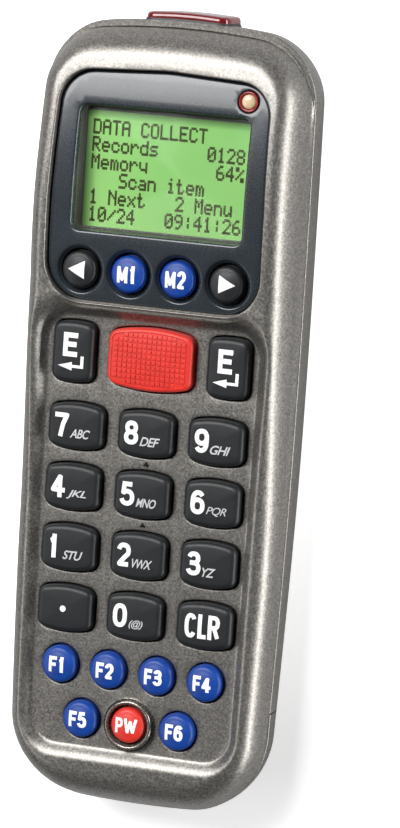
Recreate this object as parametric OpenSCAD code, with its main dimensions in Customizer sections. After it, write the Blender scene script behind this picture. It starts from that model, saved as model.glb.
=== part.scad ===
// Hand-held data terminal with a keypad, a character display and a scan window.
// It lies on its back: +Z comes out of the keypad, +Y points at the scan window.
// The origin is the middle of the flat back. All sizes are in millimetres.

/* [Body] */
// Length of the casing without the scan window
body_length = 148.5; // [146:0.5:152]
// Widest width, at the seam between the two shells
body_width = 54; // [54:0.1:56]
// Height of the front face at the crest beside the display
crest_z = 22.5; // [22.4:0.1:23.5]
// Height of the seam between front and rear shell
seam_z = 12.7; // [12.7:0.05:12.9]
// Wall thickness of the shells
wall = 1.8; // [1.5:0.1:1.9]
// Corner radius in plan at the scan window end
corner_top = 11.2; // [11:0.2:14]
// Corner radius in plan at the power key end
corner_bottom = 13.8; // [12:0.2:14]
// How far the rolled front edge reaches in from the side
front_roll = 4.3; // [3.6:0.1:4.4]
// Radius of the rounded back edge
rear_roll = 10.6; // [9:0.1:10.8]

/* [Keypad] */
// Column pitch of the number keys
pitch_x = 14.15; // [14:0.05:14.3]
// Row pitch of the number keys
pitch_y = 11.52; // [11.4:0.02:11.6]
// Width of a number key
key_width = 11.2; // [10.5:0.1:11.6]
// Height of a number key, at its middle
key_height = 8.8; // [8.5:0.1:9.2]
// Diameter of a round key
round_diameter = 7.1; // [6.8:0.1:7.5]
// Height of the sunken keypad floor
floor_z = 18.4; // [18.3:0.05:18.6]
// How far the keys stand above the floor
key_proud = 2.0; // [1.4:0.1:2.2]
// How far a key travels
key_travel = 1.0; // [0.6:0.05:1.0]
// Gap between a key and its opening
key_gap = 0.25; // [0.15:0.05:0.3]

/* [Display] */
// Width of the opening in the bezel
window_width = 34; // [32:0.5:34.5]
// Height of the opening in the bezel
window_height = 23.3; // [22:0.1:23.6]
// Middle of the opening, from the origin
window_y = 45.95; // [45.8:0.05:46.1]
// How deep the bezel lies below the casing around it
bezel_drop = 1.2; // [0.9:0.1:1.3]
// Thickness of the bezel plate
bezel_thickness = 1.5; // [1.2:0.1:1.5]

/* [Power] */
// Diameter of an AAA cell
cell_diameter = 10.3; // [10:0.1:10.4]
// Length of an AAA cell with its nub
cell_length = 44; // [43.5:0.1:44.5]

/* [Hidden] */

CASE_GREY = "#8b8a86";
GOLD = "#d4af37";
STEEL = "#c9ccd0";

// Front face
arch_radius = 140;     // the arched front beside the display
arch_y = 38.6;         // where the arch is highest
arch_foot_y = 24;      // where the arch gives way to the rims
level_y = -20;         // where the rims beside the keypad are lowest
rim_z = 19.6;          // height of the rims there
fall_y = -64;          // where the front starts to fall at the power key end
arch_skin = 4.25;      // from the front face down to the cavity, under the arch
floor_skin = 1.75;     // the same under the keypad floor
cavity_roll = 2.5;     // rolled edge of the cavity
widest_y = 20;         // where the casing is widest
corner_steps = 8;

// Corners of the keypad recess: half width, end y, z, radius. The last two are its rim.
RECESS = [[21.3, 18.3, floor_z, 4.5], [19.9, -63, floor_z, 5],
  [23.4, 20.6, 22, 5], [22.8, -76, 22, 7]];
// Rounded sides of the bezel: x, y, radius
BEZEL_SIDES = [[13.8, 28.6, 7.6], [14.2, 40, 7.2], [14.6, 57.7, 6.3]];

// Key rows, from the display down
nav_y = 26.9;
enter_y = 11.2;
number_y = -2.76;      // the 7 8 9 row
function_y = -48.1;
power_y = -58.0;

// Main board
board_top = 13.6;
board_thickness = 1.2;
board_bottom = board_top - board_thickness;
under_board = board_bottom - 0.1;   // top of the parts right below the board
stem_gap = 0.08;                    // from the board to a fully pressed key

// Screw places: x, y
CASE_SCREWS = [[-17.5, 65.2], [17.5, 65.2], [-21, 20.6], [21, 20.6]];
BOARD_SCREWS = [[-19.8, -56.3], [19.8, -56.3], [0, 20]];

// Battery door and bay
door_y = -53.5;        // where the battery door starts round the sides
door_overlap = 4;      // how far the tongue reaches back into the door's end
tongue_width = 26;     // the door's tongue on the back
tongue_y = -18.6;      // its far end
tongue_length = tongue_y - door_y;
rail_thickness = 0.7;
rail_x = tongue_width / 2 - rail_thickness;
bay_y = -68.4;         // the power key end of the battery bay
bay_length = 48;
cell_bottom = 1.42;
cell_z = cell_bottom + cell_diameter / 2;
cell_x = 5.55;
plate_size = 6.4;

// Parts at the surface
led_place = [16.2, 60.7];
PAD_PLACES = [[-8, -14], [8, -14]];
data_y = 8;

// ---------- outline and height rules ----------
function half_width(y) =
  body_width / 2 - (y > widest_y ? 0.00011 : 0.00023) * pow(y - widest_y, 2);
function end_top(x) = body_length / 2 - 0.0035 * x * x;
function end_bottom(x) = -body_length / 2 + 0.0026 * x * x;
// Eases from 0 to 1 as t goes from 0 to 1.
function smooth(t) = let(c = min(1, max(0, t))) c * c * (3 - 2 * c);
function arch_z(y) = crest_z - pow(y - arch_y, 2) / (2 * arch_radius);
// Front height along y: arched at the display, nearly level beside the keypad,
// falling at both ends.
function top_z(y) = y > arch_foot_y ? arch_z(y) :
  rim_z + 0.35 * smooth((level_y - y) / 40)
  - (y < fall_y ? 0.012 * pow(y - fall_y, 2) : 0)
  + (arch_z(arch_foot_y) - rim_z) * smooth((y - level_y) / (arch_foot_y - level_y));
function cavity_z(y) = y > 18.5 ? arch_z(y) - arch_skin : floor_z - floor_skin;

// One corner point of the outline set in by inset: angle is 0 on the side and 90 on the end.
// The sides and ends are curved, so each pass brings x and y closer to both.
function corner_point(inset, radius, angle, top, passes, x) =
  let(from_side = radius - (radius - inset) * cos(angle),
      from_end = radius - (radius - inset) * sin(angle),
      y = top ? end_top(x) - from_end : end_bottom(x) + from_end,
      next_x = half_width(y) - from_side)
  passes == 1 ? [next_x, y] : corner_point(inset, radius, angle, top, passes - 1, next_x);
// A corner from the side to the end.
function corner(inset, top) = [for (i = [0:corner_steps])
  corner_point(inset, top ? corner_top : corner_bottom, 90 * i / corner_steps, top, 5, 20)];
function right_side(inset) =
  let(from = corner(inset, false)[0].y, to = corner(inset, true)[0].y)
  [for (t = [0.1:0.1:0.91]) let(y = from + (to - from) * t) [half_width(y) - inset, y]];
function half_outline(inset) =
  let(low = corner(inset, false), high = corner(inset, true),
      low_x = low[corner_steps].x, high_x = high[corner_steps].x)
  concat(
    [for (i = [0:2]) let(x = low_x * i / 3) [x, end_bottom(x) + inset]],
    [for (i = [corner_steps:-1:0]) low[i]],
    right_side(inset),
    high,
    [for (i = [2:-1:0]) let(x = high_x * i / 3) [x, end_top(x) - inset]]);
// The whole outline, counter-clockwise.
function outline(inset) = let(half = half_outline(inset))
  concat(half, [for (i = [len(half) - 2:-1:1]) [-half[i].x, half[i].y]]);

// ---------- shell forms ----------
// The back narrows a little below the seam, towards the power key end.
function tuck(y, z) = 1 - 0.036 * smooth(-y / 70) * max(0, seam_z - z) / seam_z;
// A level ring of the outline.
function level_ring(inset, z) = [for (p = outline(inset)) [p.x * tuck(p.y, z), p.y, z]];
// Rings of the back, from the flat face up to the seam; inset sets the whole form in.
function rear_rings(inset) = concat(
  [for (angle = [0, 14, 30, 48, 66, 84])
    level_ring(inset + rear_roll * 0.765 * (1 - sin(angle)),
      inset + (rear_roll - inset * 0.5) * (1 - cos(angle)))],
  [level_ring(inset, seam_z + (inset > 0 ? 1 : -0.06))]);

// The rolled front edge is drawn out lengthwise at both ends.
function drawn(p, reach) =
  [p.x, p.y - sign(p.y) * 0.38 * reach * smooth((abs(p.y) - 50) / 22)];
// How far down the rolled front edge starts: deepest beside the display.
function roll_depth(y) = 4.9 + 3.3 * smooth((y + 35) / 60) + 0.6 * smooth((y - 38) / 20);
// One ring of the rolled edge; drop goes from 1 at its foot to 0 at the top.
function front_ring(inset, ring_inset, drop) =
  [for (q = outline(ring_inset)) let(p = drawn(q, ring_inset - inset), y = p.y)
    [p.x, y, max(seam_z + 0.05, inset > 0
      ? min(cavity_z(y), top_z(y) - inset) - cavity_roll * drop
      : top_z(y) - roll_depth(y) * drop)]];
// Rings of the front, from just below the seam up to the edge of the arched top.
function front_rings(inset) = let(roll = inset > 0 ? cavity_roll : front_roll, ledge = 0.4)
  concat(
    [level_ring(inset, seam_z - 1.5)],
    [level_ring(inset, seam_z)],
    [for (angle = [0, 22, 44, 66, 90])
      front_ring(inset, inset + ledge + roll * (1 - cos(angle)), 1 - sin(angle))]);

// A closed solid through rings of [x, y, z] points, from low to high.
module ring_solid(rings, cap, convexity) {
  n = len(rings[0]);
  last = len(rings) - 1;
  polyhedron(points = [for (ring = rings) each ring], convexity = convexity, faces = concat(
    [[for (i = [0:n - 1]) i]],
    [for (k = [0:last - 1]) for (i = [0:n - 1]) let(j = (i + 1) % n)
      [k * n + i, (k + 1) * n + i, (k + 1) * n + j]],
    [for (k = [0:last - 1]) for (i = [0:n - 1]) let(j = (i + 1) % n)
      [k * n + i, (k + 1) * n + j, k * n + j]],
    [for (face = cap) [for (i = face) last * n + i]]));
}
// Caps list faces as indices into the last ring of n points.
function flat_cap(n) = [[for (i = [n - 1:-1:0]) i]];
// Level rows across the top, so that it follows the arch.
function arched_cap(n) = let(half = (n + 2) / 2) concat(
  [[0, n - 1, 1]],
  [for (i = [1:half - 3]) [i, n - i, i + 1]],
  [for (i = [1:half - 3]) [n - i, n - i - 1, i + 1]],
  [[half - 2, half, half - 1]]);
module rear_form(inset) {
  rings = rear_rings(inset);
  ring_solid(rings, flat_cap(len(rings[0])), convexity = 6);
}
module front_form(inset) {
  rings = front_rings(inset);
  ring_solid(rings, arched_cap(len(rings[0])), convexity = 8);
}

// ---------- helpers ----------
// A box centred on x = 0 that starts at y and z.
module mid_box(y, z, size) { translate([-size.x / 2, y, z]) cube(size); }
module at(places, z = 0) { for (p = places) translate([p.x, p.y, z]) children(); }
// A flat shape raised from inside the casing through the front.
module upright(height) { translate([0, 0, 10]) linear_extrude(height) children(); }
// Puts the z axis on the axis of the arched front.
module arch_axis() {
  translate([-50, arch_y, crest_z - arch_radius]) rotate([0, 90, 0]) children();
}
module rounded(width, height, radius) {
  hull() for (x = [-1, 1], y = [-1, 1])
    translate([x * (width / 2 - radius), y * (height / 2 - radius)]) circle(radius, $fn = 32);
}
// A key face with straight sides and arched top and bottom edges.
module barrel(width, height, bulge, radius) {
  edge_radius = (pow(width / 2, 2) + bulge * bulge) / (2 * bulge);
  offset(r = radius, $fn = 32) offset(delta = -radius) intersection() {
    square([width, height + 2], center = true);
    translate([0, height / 2 - edge_radius]) circle(edge_radius, $fn = 240);
    translate([0, edge_radius - height / 2]) circle(edge_radius, $fn = 240);
  }
}
// The bezel: wider at the keys than at the far end, with an arched far edge.
module bezel_shape(gap = 0) {
  end_radius = 30;
  hull() {
    for (side = [-1, 1], c = BEZEL_SIDES)
      translate([side * c[0], c[1]]) circle(c[2] + gap, $fn = 48);
    translate([0, 64.7 - end_radius]) intersection() {
      circle(end_radius + gap, $fn = 180);
      translate([-9, 20]) square([18, 20]);
    }
  }
}
// The outline of the scan window, run back from y = 80.
module scan_block(depth, gap = 0) {
  translate([0, 80, 8.6]) rotate([90, 0, 0]) linear_extrude(depth)
    rounded(16.8 + 2 * gap, 8.4 + 2 * gap, 2.0 + gap);
}
module scan_opening() { scan_block(12, gap = 0.2); }

// ---------- keys ----------
// Faces are [diameter] for a round key, or [width, height, bulge] for a barrel.
round_face = [round_diameter];
number_face = [key_width, key_height, 0.85];
enter_face = [8.4, 11.5, 0.5];
scan_face = [17.0, 11.8, 1.1];
enter_x = 15.6;
lower_x = 9.8;         // the keys beside the power key
key_z = floor_z + key_proud;
tall_key_z = key_z + 0.1;
nav_z = arch_z(nav_y) - bezel_drop + 1.2;
NAV_NAMES = ["key_left", "key_m1", "key_m2", "key_right"];
NUMBER_NAMES = [["key_7", "key_8", "key_9"], ["key_4", "key_5", "key_6"],
  ["key_1", "key_2", "key_3"], ["key_dot", "key_0", "key_clear"]];
FUNCTION_NAMES = ["key_f1", "key_f2", "key_f3", "key_f4"];

// A row of equal keys, centred on x = 0.
function key_row(names, pitch, y, face, z) = [for (i = [0:len(names) - 1])
  [names[i], [(i - (len(names) - 1) / 2) * pitch, y], face, z]];
NAV_KEYS = key_row(NAV_NAMES, 9.85, nav_y, round_face, nav_z);
// Every key: name, place, face, height of its top.
KEYS = concat(
  NAV_KEYS,
  [["key_enter_left", [-enter_x, enter_y], enter_face, key_z],
   ["key_scan", [0, enter_y], scan_face, tall_key_z],
   ["key_enter_right", [enter_x, enter_y], enter_face, key_z]],
  [for (row = [0:3])
    each key_row(NUMBER_NAMES[row], pitch_x, number_y - row * pitch_y, number_face, key_z)],
  key_row(FUNCTION_NAMES, 9.83, function_y, round_face, tall_key_z),
  [["key_f5", [-lower_x, power_y], round_face, tall_key_z],
   ["key_power", [0, power_y], [round_diameter - 0.2], tall_key_z],
   ["key_f6", [lower_x, power_y], round_face, tall_key_z]]);
function key_name(key) = key[0];
function key_place(key) = key[1];
function key_face(key) = key[2];
function key_top(key) = key[3];
function is_round(key) = len(key_face(key)) == 1;
function places(keys) = [for (key = keys) key_place(key)];

module key_shape(key, grow = 0) {
  face = key_face(key);
  if (is_round(key)) circle(face[0] / 2 + grow, $fn = 48);
  else barrel(face[0] + 2 * grow, face[1] + 2 * grow, face[2], 1.7 + grow);
}
// The shell is lower under the keypad than under the bezel, so the flange sits lower there.
function flange_top(y) =
  y > 20 ? arch_z(y - 4.5) - arch_skin - 0.15 : floor_z - floor_skin - 0.1;
module key_body(key) {
  place = key_place(key);
  top = key_top(key);
  flange_z = flange_top(place.y);
  flange_thickness = 1;
  step = 0.6;          // height of the narrower top
  stem_z = board_top + stem_gap + key_travel;
  translate([place.x, place.y, 0]) {
    translate([0, 0, flange_z - 0.01]) linear_extrude(top - step - flange_z + 0.01)
      key_shape(key);
    translate([0, 0, top - step - 0.001]) linear_extrude(step + 0.001) key_shape(key, -0.5);
    translate([0, 0, flange_z - flange_thickness]) linear_extrude(flange_thickness)
      key_shape(key, 0.45);
    translate([0, 0, stem_z])
      cylinder(r = 1.9, h = flange_z - flange_thickness - stem_z + 0.2, $fn = 32);
  }
}
function key_color(key) = let(name = key_name(key))
  name == "key_scan" || name == "key_power" ? "firebrick" :
  is_round(key) && name != "key_left" && name != "key_right" ? "royalblue" : "#222428";
module named_key(key) { color(key_color(key)) key_body(key); }

// ---------- shells ----------
// The sunken keypad floor, with sloping sides.
module keypad_recess() {
  hull() for (side = [-1, 1], c = RECESS)
    translate([side * (c[0] - c[3]), c[1] - sign(c[1]) * c[3], c[2]])
      cylinder(r = c[3], h = 0.01, $fn = 32);
}
// The pocket for the bezel, arched like the front.
module bezel_pocket() {
  difference() {
    upright(20) bezel_shape(0.25);
    arch_axis()
      cylinder(r = arch_radius - bezel_drop - bezel_thickness - 0.05, h = 100, $fn = 256);
  }
}
module power_ring() {
  translate([0, power_y, floor_z - 0.5]) difference() {
    cylinder(r = 4.75, h = 0.5 + 1.3, $fn = 48);
    translate([0, 0, -1]) cylinder(r = 3.95, h = 5, $fn = 48);
  }
}
// Two raised triangles, above and below the 5.
module tactile_marks() {
  for (side = [-1, 1])
    translate([0, number_y - pitch_y + side * pitch_y / 2, floor_z - 0.2])
      linear_extrude(0.55) polygon([[-0.9, -0.45], [0.9, -0.45], [0, 0.55]]);
}
// Board screw bosses, and longer case screw bosses that reach down past the seam.
module front_bosses() {
  boss_z = 9.4;
  at(BOARD_SCREWS, board_top + 0.06) cylinder(r = 2.1, h = 3.7, $fn = 32);
  for (p = CASE_SCREWS) translate([p.x, p.y, boss_z])
    cylinder(r = 2.2, h = (p.y > 40 ? 15.5 : 17.5) - boss_z, $fn = 32);
}
module front_shell() color(CASE_GREY) difference() {
  union() {
    difference() {
      intersection() {
        front_form(0);
        mid_box(-90, seam_z, [100, 180, 30]);
      }
      intersection() {
        front_form(wall);
        mid_box(-90, 0, [100, 180, 40]);
      }
      keypad_recess();
      bezel_pocket();
    }
    power_ring();
    tactile_marks();
    front_bosses();
  }
  for (key = KEYS) upright(12) translate(key_place(key)) key_shape(key, key_gap);
  // the opening over the display
  upright(12) translate([0, window_y]) rounded(window_width + 2.4, window_height + 2.4, 0.7);
  at([led_place], 10) cylinder(r = 1.35, h = 12, $fn = 24);
  at(CASE_SCREWS, 9) cylinder(r = 0.8, h = 6.2, $fn = 24);
  at(BOARD_SCREWS, 13) cylinder(r = 0.88, h = 2.6, $fn = 24);
  scan_opening();
}
module rear_shell() color(CASE_GREY) difference() {
  union() {
    difference() {
      rear_form(0);
      rear_form(wall);
    }
    // wells for the case screws
    intersection() {
      rear_form(0.6);
      at(CASE_SCREWS) cylinder(r = 3.1, h = 9.2, $fn = 32);
    }
  }
  // the end and the tongue of the battery door
  mid_box(-90, -1, [100, 90 + door_y, 20]);
  mid_box(-90, -1, [tongue_width + 0.4, 90 + tongue_y + 0.2, 8]);
  at(CASE_SCREWS, -1) {
    cylinder(r = 2.1, h = 8, $fn = 32);
    cylinder(r = 1.0, h = 12, $fn = 24);
  }
  scan_opening();
  // the charging pads and the data window
  at(PAD_PLACES, -1) cylinder(r = 1.65, h = 6, $fn = 32);
  translate([0, data_y, 1.5]) cube([12.4, 5.4, 8], center = true);
}
// A strip along one side of the tongue, outwards from the rail's inner face.
module tongue_strip(side, y, z, size) {
  translate([side > 0 ? rail_x : -rail_x - size.x, y, z]) cube(size);
}
module battery_door() color("#83827e") difference() {
  union() {
    difference() {
      rear_form(0);
      rear_form(wall);
      mid_box(door_y - 0.25, -1, [100, 200, 30]);
      mid_box(-90, seam_z - 0.42, [100, 200, 5]);
    }
    mid_box(door_y - door_overlap, 0, [tongue_width, tongue_length + door_overlap, 1.3]);
    // rails and lips that run inside the rear shell
    for (side = [-1, 1]) {
      tongue_strip(side, door_y - door_overlap, 0.5, [rail_thickness, tongue_length + 3, 2.1]);
      tongue_strip(side, door_y + 3, 1.95, [2.1, tongue_length - 5, 0.65]);
    }
  }
  mid_box(bay_y - 0.2, 1.3, [24.6, bay_length + 0.6, 3]);
  // grip grooves across the back of the tongue
  for (i = [0:4]) mid_box(-47 + i * 2.2, -0.4, [12, 0.9, 0.8]);
}

// ---------- display ----------
holder_z = board_top + 0.1;
holder_floor = 0.4;
ribbon_z = board_top + 0.04;
bezel_radius = arch_radius - bezel_drop;
panel_height = 25.2;

module display_bezel() color("#2b3238") difference() {
  intersection() {
    upright(20) bezel_shape();
    arch_axis() difference() {
      cylinder(r = bezel_radius, h = 100, $fn = 360);
      translate([0, 0, -1]) cylinder(r = bezel_radius - bezel_thickness, h = 102, $fn = 360);
    }
  }
  upright(15) translate([0, window_y]) rounded(window_width, window_height, 1.6);
  at(places(NAV_KEYS), 10) cylinder(r = round_diameter / 2 + key_gap, h = 15, $fn = 48);
  at([led_place], 10) cylinder(r = 2.05, h = 15, $fn = 32);
}
module display_lens() color("#dfe8e4", 0.4) translate([0, window_y, 17.3])
  linear_extrude(0.9) rounded(window_width + 2, window_height + 2, 0.8);
module lcd_panel() color("#7fb45c")
  mid_box(window_y - panel_height / 2, 15.2, [35.8, panel_height, 1.98]);
// A tray, notched at its edge towards the keys.
module lcd_holder() color("#d8d8d2") translate([0, 46.05, holder_z]) difference() {
  mid_box(-14.05, 0, [39.4, 27.2, 2.7]);
  mid_box(-13.2, holder_floor, [37.5, 26.05, 5]);
  mid_box(-15, holder_floor, [18, 3, 5]);
}
module lcd_backlight() color("#f2f4e6")
  mid_box(33.2, holder_z + holder_floor + 0.02, [36.8, 25.4, 1.0]);
module lcd_ribbon() color("#b8742a") {
  mid_box(31.2, ribbon_z, [16, 0.6, 2.0]);
  mid_box(30.3, ribbon_z, [16, 1.0, 0.3]);
}
// A stem from the board, a wider collar and a domed top.
module status_led() color("#e0a030") at([led_place]) {
  translate([0, 0, board_top + 0.1]) cylinder(r = 1.2, h = 5, $fn = 32);
  translate([0, 0, 18.5]) cylinder(r = 1.93, h = 1.12, $fn = 32);
  translate([0, 0, 19.6]) intersection() {
    translate([0, 0, -3]) sphere(r = 3.5, $fn = 48);
    cylinder(r = 1.9, h = 2, $fn = 32);
  }
}

// ---------- scanner ----------
engine_z = 7.6;        // height of the lens and lamp axes
lamp_x = 7.3;
lamp_radius = 1.5;
// Lays the z axis along y: a turn of 90 points it at -Y, and -90 at +Y.
module scan_axis(x, y, turn = 90) {
  translate([x, y, engine_z]) rotate([turn, 0, 0]) children();
}
// A window with a curved outer face, hollow behind, and a flange inside the casing.
module scan_window() color("#8a1512") difference() {
  union() {
    intersection() {
      scan_block(20);
      translate([0, 75.7 - 90, 0]) cylinder(r = 90, h = 30, $fn = 240);
      mid_box(69.4, 0, [40, 20, 30]);
    }
    mid_box(69.3, 5.9, [19.2, 1.0, 6.2]);
  }
  mid_box(60, 5.6, [14.6, 13.2, 5.9]);
}
module scan_engine() color("#26282b") difference() {
  mid_box(52, 3.6, [19, 16, 8.3]);
  scan_axis(0, 70) cylinder(r = 3.2, h = 9, $fn = 40);
  for (x = [-lamp_x, lamp_x]) scan_axis(x, 70) cylinder(r = 1.6, h = 4.5, $fn = 24);
}
module scan_engine_lens() color("#9fb7c8")
  scan_axis(0, 66.8) cylinder(r = 3.15, h = 2, $fn = 40);
module scan_lamps() color("#c8322a") for (x = [-lamp_x, lamp_x]) scan_axis(x, 65.6, -90) {
  cylinder(r = lamp_radius, h = 2.2, $fn = 24);
  translate([0, 0, 2.2]) intersection() {
    sphere(r = lamp_radius, $fn = 32);
    cylinder(r = 1.6, h = 2, $fn = 24);
  }
}

// ---------- electronics ----------
// Chips below the board: middle x, middle y, width, length, thickness
CHIPS = [[-12, 2, 14, 14, 1.4], [8, 4, 10, 10, 1.2], [12, -12, 8, 12, 1.1],
  [-10, -14, 11, 8, 1.1], [14, 36, 10, 14, 1.5], [-14, 38, 8, 10, 1.2]];
buzzer_height = 4.1;
backup_height = 2.1;

module main_board() color("#1f5a34") difference() {
  translate([0, 0, board_bottom]) linear_extrude(board_thickness) difference() {
    union() {
      translate([0, 2]) rounded(45, 128, 4);
      translate([0, -50]) rounded(40, 44, 9);
    }
    translate([0, 72]) square([22, 10], center = true);
    translate([0, -81]) square([80, 22], center = true);
  }
  at(CASE_SCREWS, 5) cylinder(r = 2.5, h = 20, $fn = 32);
  at(BOARD_SCREWS, 5) cylinder(r = 1.1, h = 20, $fn = 24);
}
module board_chips() color("#202124") for (c = CHIPS)
  translate([c[0] - c[2] / 2, c[1] - c[3] / 2, board_bottom - c[4] - 0.02])
    cube([c[2], c[3], c[4]]);
module key_contacts() color(GOLD)
  at(places(KEYS), board_top + 0.01) cylinder(r = 2.1, h = 0.05, $fn = 24);
module keypad_mat() color("#3a3b3e")
  translate([0, 0, board_top + 0.07]) linear_extrude(0.65) difference() {
    union() {
      translate([0, -13]) rounded(43.6, 86, 4);
      translate([0, -50]) rounded(38, 28, 9);
    }
    at(places(KEYS)) circle(2.4, $fn = 32);
    at([CASE_SCREWS[2], CASE_SCREWS[3]]) circle(2.5, $fn = 32);
    at(BOARD_SCREWS) circle(2.4, $fn = 32);
  }
module buzzer() color("#2a2a2c")
  translate([-11, 20.5, under_board - buzzer_height]) difference() {
    cylinder(r = 6, h = buzzer_height, $fn = 48);
    translate([0, 0, -0.1]) cylinder(r = 1, h = 1.2, $fn = 24);
  }
module backup_cell() color(STEEL) translate([11.4, 20.5, under_board - backup_height])
  cylinder(r = 6.2, h = backup_height, $fn = 48);

// ---------- power ----------
// The axis of one cell, from y in the bay: the right one points at +Y, the left one at -Y.
module cell_axis(side, y) {
  translate([side * cell_x, bay_y + y, cell_z]) rotate([-90 * side, 0, 0]) children();
}
module battery_tray() color("#2c2d30") difference() {
  mid_box(bay_y, 1.45, [24, bay_length, 10.85]);
  mid_box(bay_y + 0.75, 0, [22, 46.3, cell_bottom + cell_diameter + 0.05]);
}
module battery_cells() color("#3f6fb0") for (side = [1, -1])
  cell_axis(side, side > 0 ? 46.55 - cell_length : 1.25 + cell_length) {
    cylinder(r = cell_diameter / 2, h = cell_length - 0.9, $fn = 64);
    translate([0, 0, cell_length - 0.95]) cylinder(r = 1.9, h = 0.95, $fn = 32);
  }
// Each wire spring is drawn as the cone it fills, on its plate.
module battery_springs() color(STEEL) for (side = [-1, 1])
  cell_axis(side, side > 0 ? 0.8 : 47) {
    cylinder(r = 3.6, h = 0.3, $fn = 32);
    translate([0, 0, 0.25]) cylinder(r1 = 3.2, r2 = 2.0, h = 1.4, $fn = 32);
  }
module battery_plates() color(STEEL) for (side = [-1, 1])
  translate([side * cell_x - plate_size / 2, bay_y + (side > 0 ? 46.6 : 0.8),
    cell_z - plate_size / 2]) cube([plate_size, 0.4, plate_size]);
module charge_pads() color(GOLD) at(PAD_PLACES) {
  translate([0, 0, 0.15]) cylinder(r = 1.55, h = 2, $fn = 32);
  translate([0, 0, 1.85]) cylinder(r = 2.1, h = 0.5, $fn = 32);
}
module data_window() color("#3a0d12") {
  mid_box(data_y - 2.5, 0.2, [12, 5, 1.8]);
  mid_box(data_y - 3.5, 1.84, [14, 7, 0.6]);
}

// ---------- fasteners ----------
// A screw with its cross-slotted head down.
module screw(head_radius, shaft_radius, length, head_height) {
  difference() {
    union() {
      cylinder(r = head_radius, h = head_height, $fn = 32);
      cylinder(r = shaft_radius, h = length, $fn = 24);
    }
    for (angle = [0, 90]) rotate(angle)
      translate([-head_radius * 0.6, -0.22, -0.01])
        cube([head_radius * 1.2, 0.44, head_height * 0.55]);
  }
}
module case_screws() color("#b8babd") at(CASE_SCREWS, 5.68)
  screw(head_radius = 1.9, shaft_radius = 0.72, length = 7.6, head_height = 1.3);
module board_screws() color("#b8babd") at(BOARD_SCREWS, board_bottom - 0.97)
  screw(head_radius = 1.8, shaft_radius = 0.8, length = 3.8, head_height = 0.95);

front_shell();
rear_shell();
display_bezel();
display_lens();
lcd_panel();
lcd_holder();
lcd_backlight();
lcd_ribbon();
status_led();
scan_window();
scan_engine();
scan_engine_lens();
scan_lamps();
main_board();
board_chips();
key_contacts();
keypad_mat();
buzzer();
backup_cell();
battery_tray();
battery_cells();
battery_springs();
battery_plates();
battery_door();
charge_pads();
data_window();
case_screws();
board_screws();
for (key = KEYS) named_key(key);
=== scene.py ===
"""A handheld barcode terminal lying on its back.

The back rests on z = 0 and the keypad faces +Z. +Y runs from the power key to the display and on
to the scan window in the far end; +X is to the right as the keypad is read. Sizes are worked out
in millimetres and the meshes are made in metres.
"""
import bpy, bmesh, math
import numpy as np
from mathutils import Matrix, Vector
from mathutils.geometry import delaunay_2d_cdt


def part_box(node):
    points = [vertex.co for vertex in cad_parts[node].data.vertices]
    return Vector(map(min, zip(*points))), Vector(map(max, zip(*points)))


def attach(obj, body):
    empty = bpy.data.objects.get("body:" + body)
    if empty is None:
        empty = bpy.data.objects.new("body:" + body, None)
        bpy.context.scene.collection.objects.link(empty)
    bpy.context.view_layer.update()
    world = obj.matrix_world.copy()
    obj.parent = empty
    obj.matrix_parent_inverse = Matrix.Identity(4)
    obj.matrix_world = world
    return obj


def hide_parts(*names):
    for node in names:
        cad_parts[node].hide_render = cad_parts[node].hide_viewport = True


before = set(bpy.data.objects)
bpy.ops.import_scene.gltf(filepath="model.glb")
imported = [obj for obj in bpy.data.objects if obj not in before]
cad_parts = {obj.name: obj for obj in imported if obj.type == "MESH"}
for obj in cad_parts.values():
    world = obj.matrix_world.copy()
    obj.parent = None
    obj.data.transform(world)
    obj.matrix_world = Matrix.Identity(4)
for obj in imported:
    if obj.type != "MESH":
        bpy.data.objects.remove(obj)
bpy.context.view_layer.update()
MM = 0.001

# ------------------------------------------------------------------ sizes
HALF_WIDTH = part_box("front_shell")[1][0] / MM
HALF_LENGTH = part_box("front_shell")[1][1] / MM
SEAM = 12.7  # height where front and rear shells meet
CREST, ARCH_R, ARCH_Y = 22.5, 140.0, 38.6  # arched top over the display: height, radius, middle
ARCH_FOOT = 24.0  # y where the arch gives way to the keypad's rim
RIM, FLOOR = 19.6, 18.4  # heights of the rim round the keypad and of the keypad floor
TOP_CORNER, BOTTOM_CORNER = 11.2, 13.8  # corner radii of the outline
TOP_CURVE, BOTTOM_CURVE = 0.0035, 0.0026  # bow of the two ends
BEZEL_DROP = 1.2
DOOR_Y, TONGUE_W, TONGUE_Y = -53.5, 26.0, -18.6  # battery door: its cut, its tongue's width and end
BAY_Y = -68.4
PITCH_X, PITCH_Y, DIGIT_Y = 14.15, 11.52, -2.76
NAV_Y, ENTER_Y, F_Y, POWER_Y = 26.9, 11.2, -48.1, -58.0
DIGIT_W, DIGIT_H, ROUND_D = 11.2, 8.8, 7.1
KEY_GAP = 0.25
WINDOW_W, WINDOW_H, WINDOW_Y = 34.0, 23.3, 45.95
LAMP_X, LAMP_Y = 16.2, 60.7
CASE_SCREWS = [(-17.5, 65.2), (17.5, 65.2), (-21.0, 20.6), (21.0, 20.6)]
BOARD_SCREWS = [(-19.8, -56.3), (19.8, -56.3), (0.0, 20.0)]
PAD_XS, PAD_Y = (-8, 8), -14  # charge pads
DATA_Y = 8  # data window


# ------------------------------------------------------------------ body outline
def ease(t):
    t = min(1.0, max(0.0, t))
    return t * t * (3 - 2 * t)


def half_w(y):
    return HALF_WIDTH - (0.00011 if y > 20 else 0.00023) * (y - 20) ** 2


def end_top(x):
    return HALF_LENGTH - TOP_CURVE * x * x


def end_bottom(x):
    return -HALF_LENGTH + BOTTOM_CURVE * x * x


def arch_z(y):
    return CREST - (y - ARCH_Y) ** 2 / (2 * ARCH_R)


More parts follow.
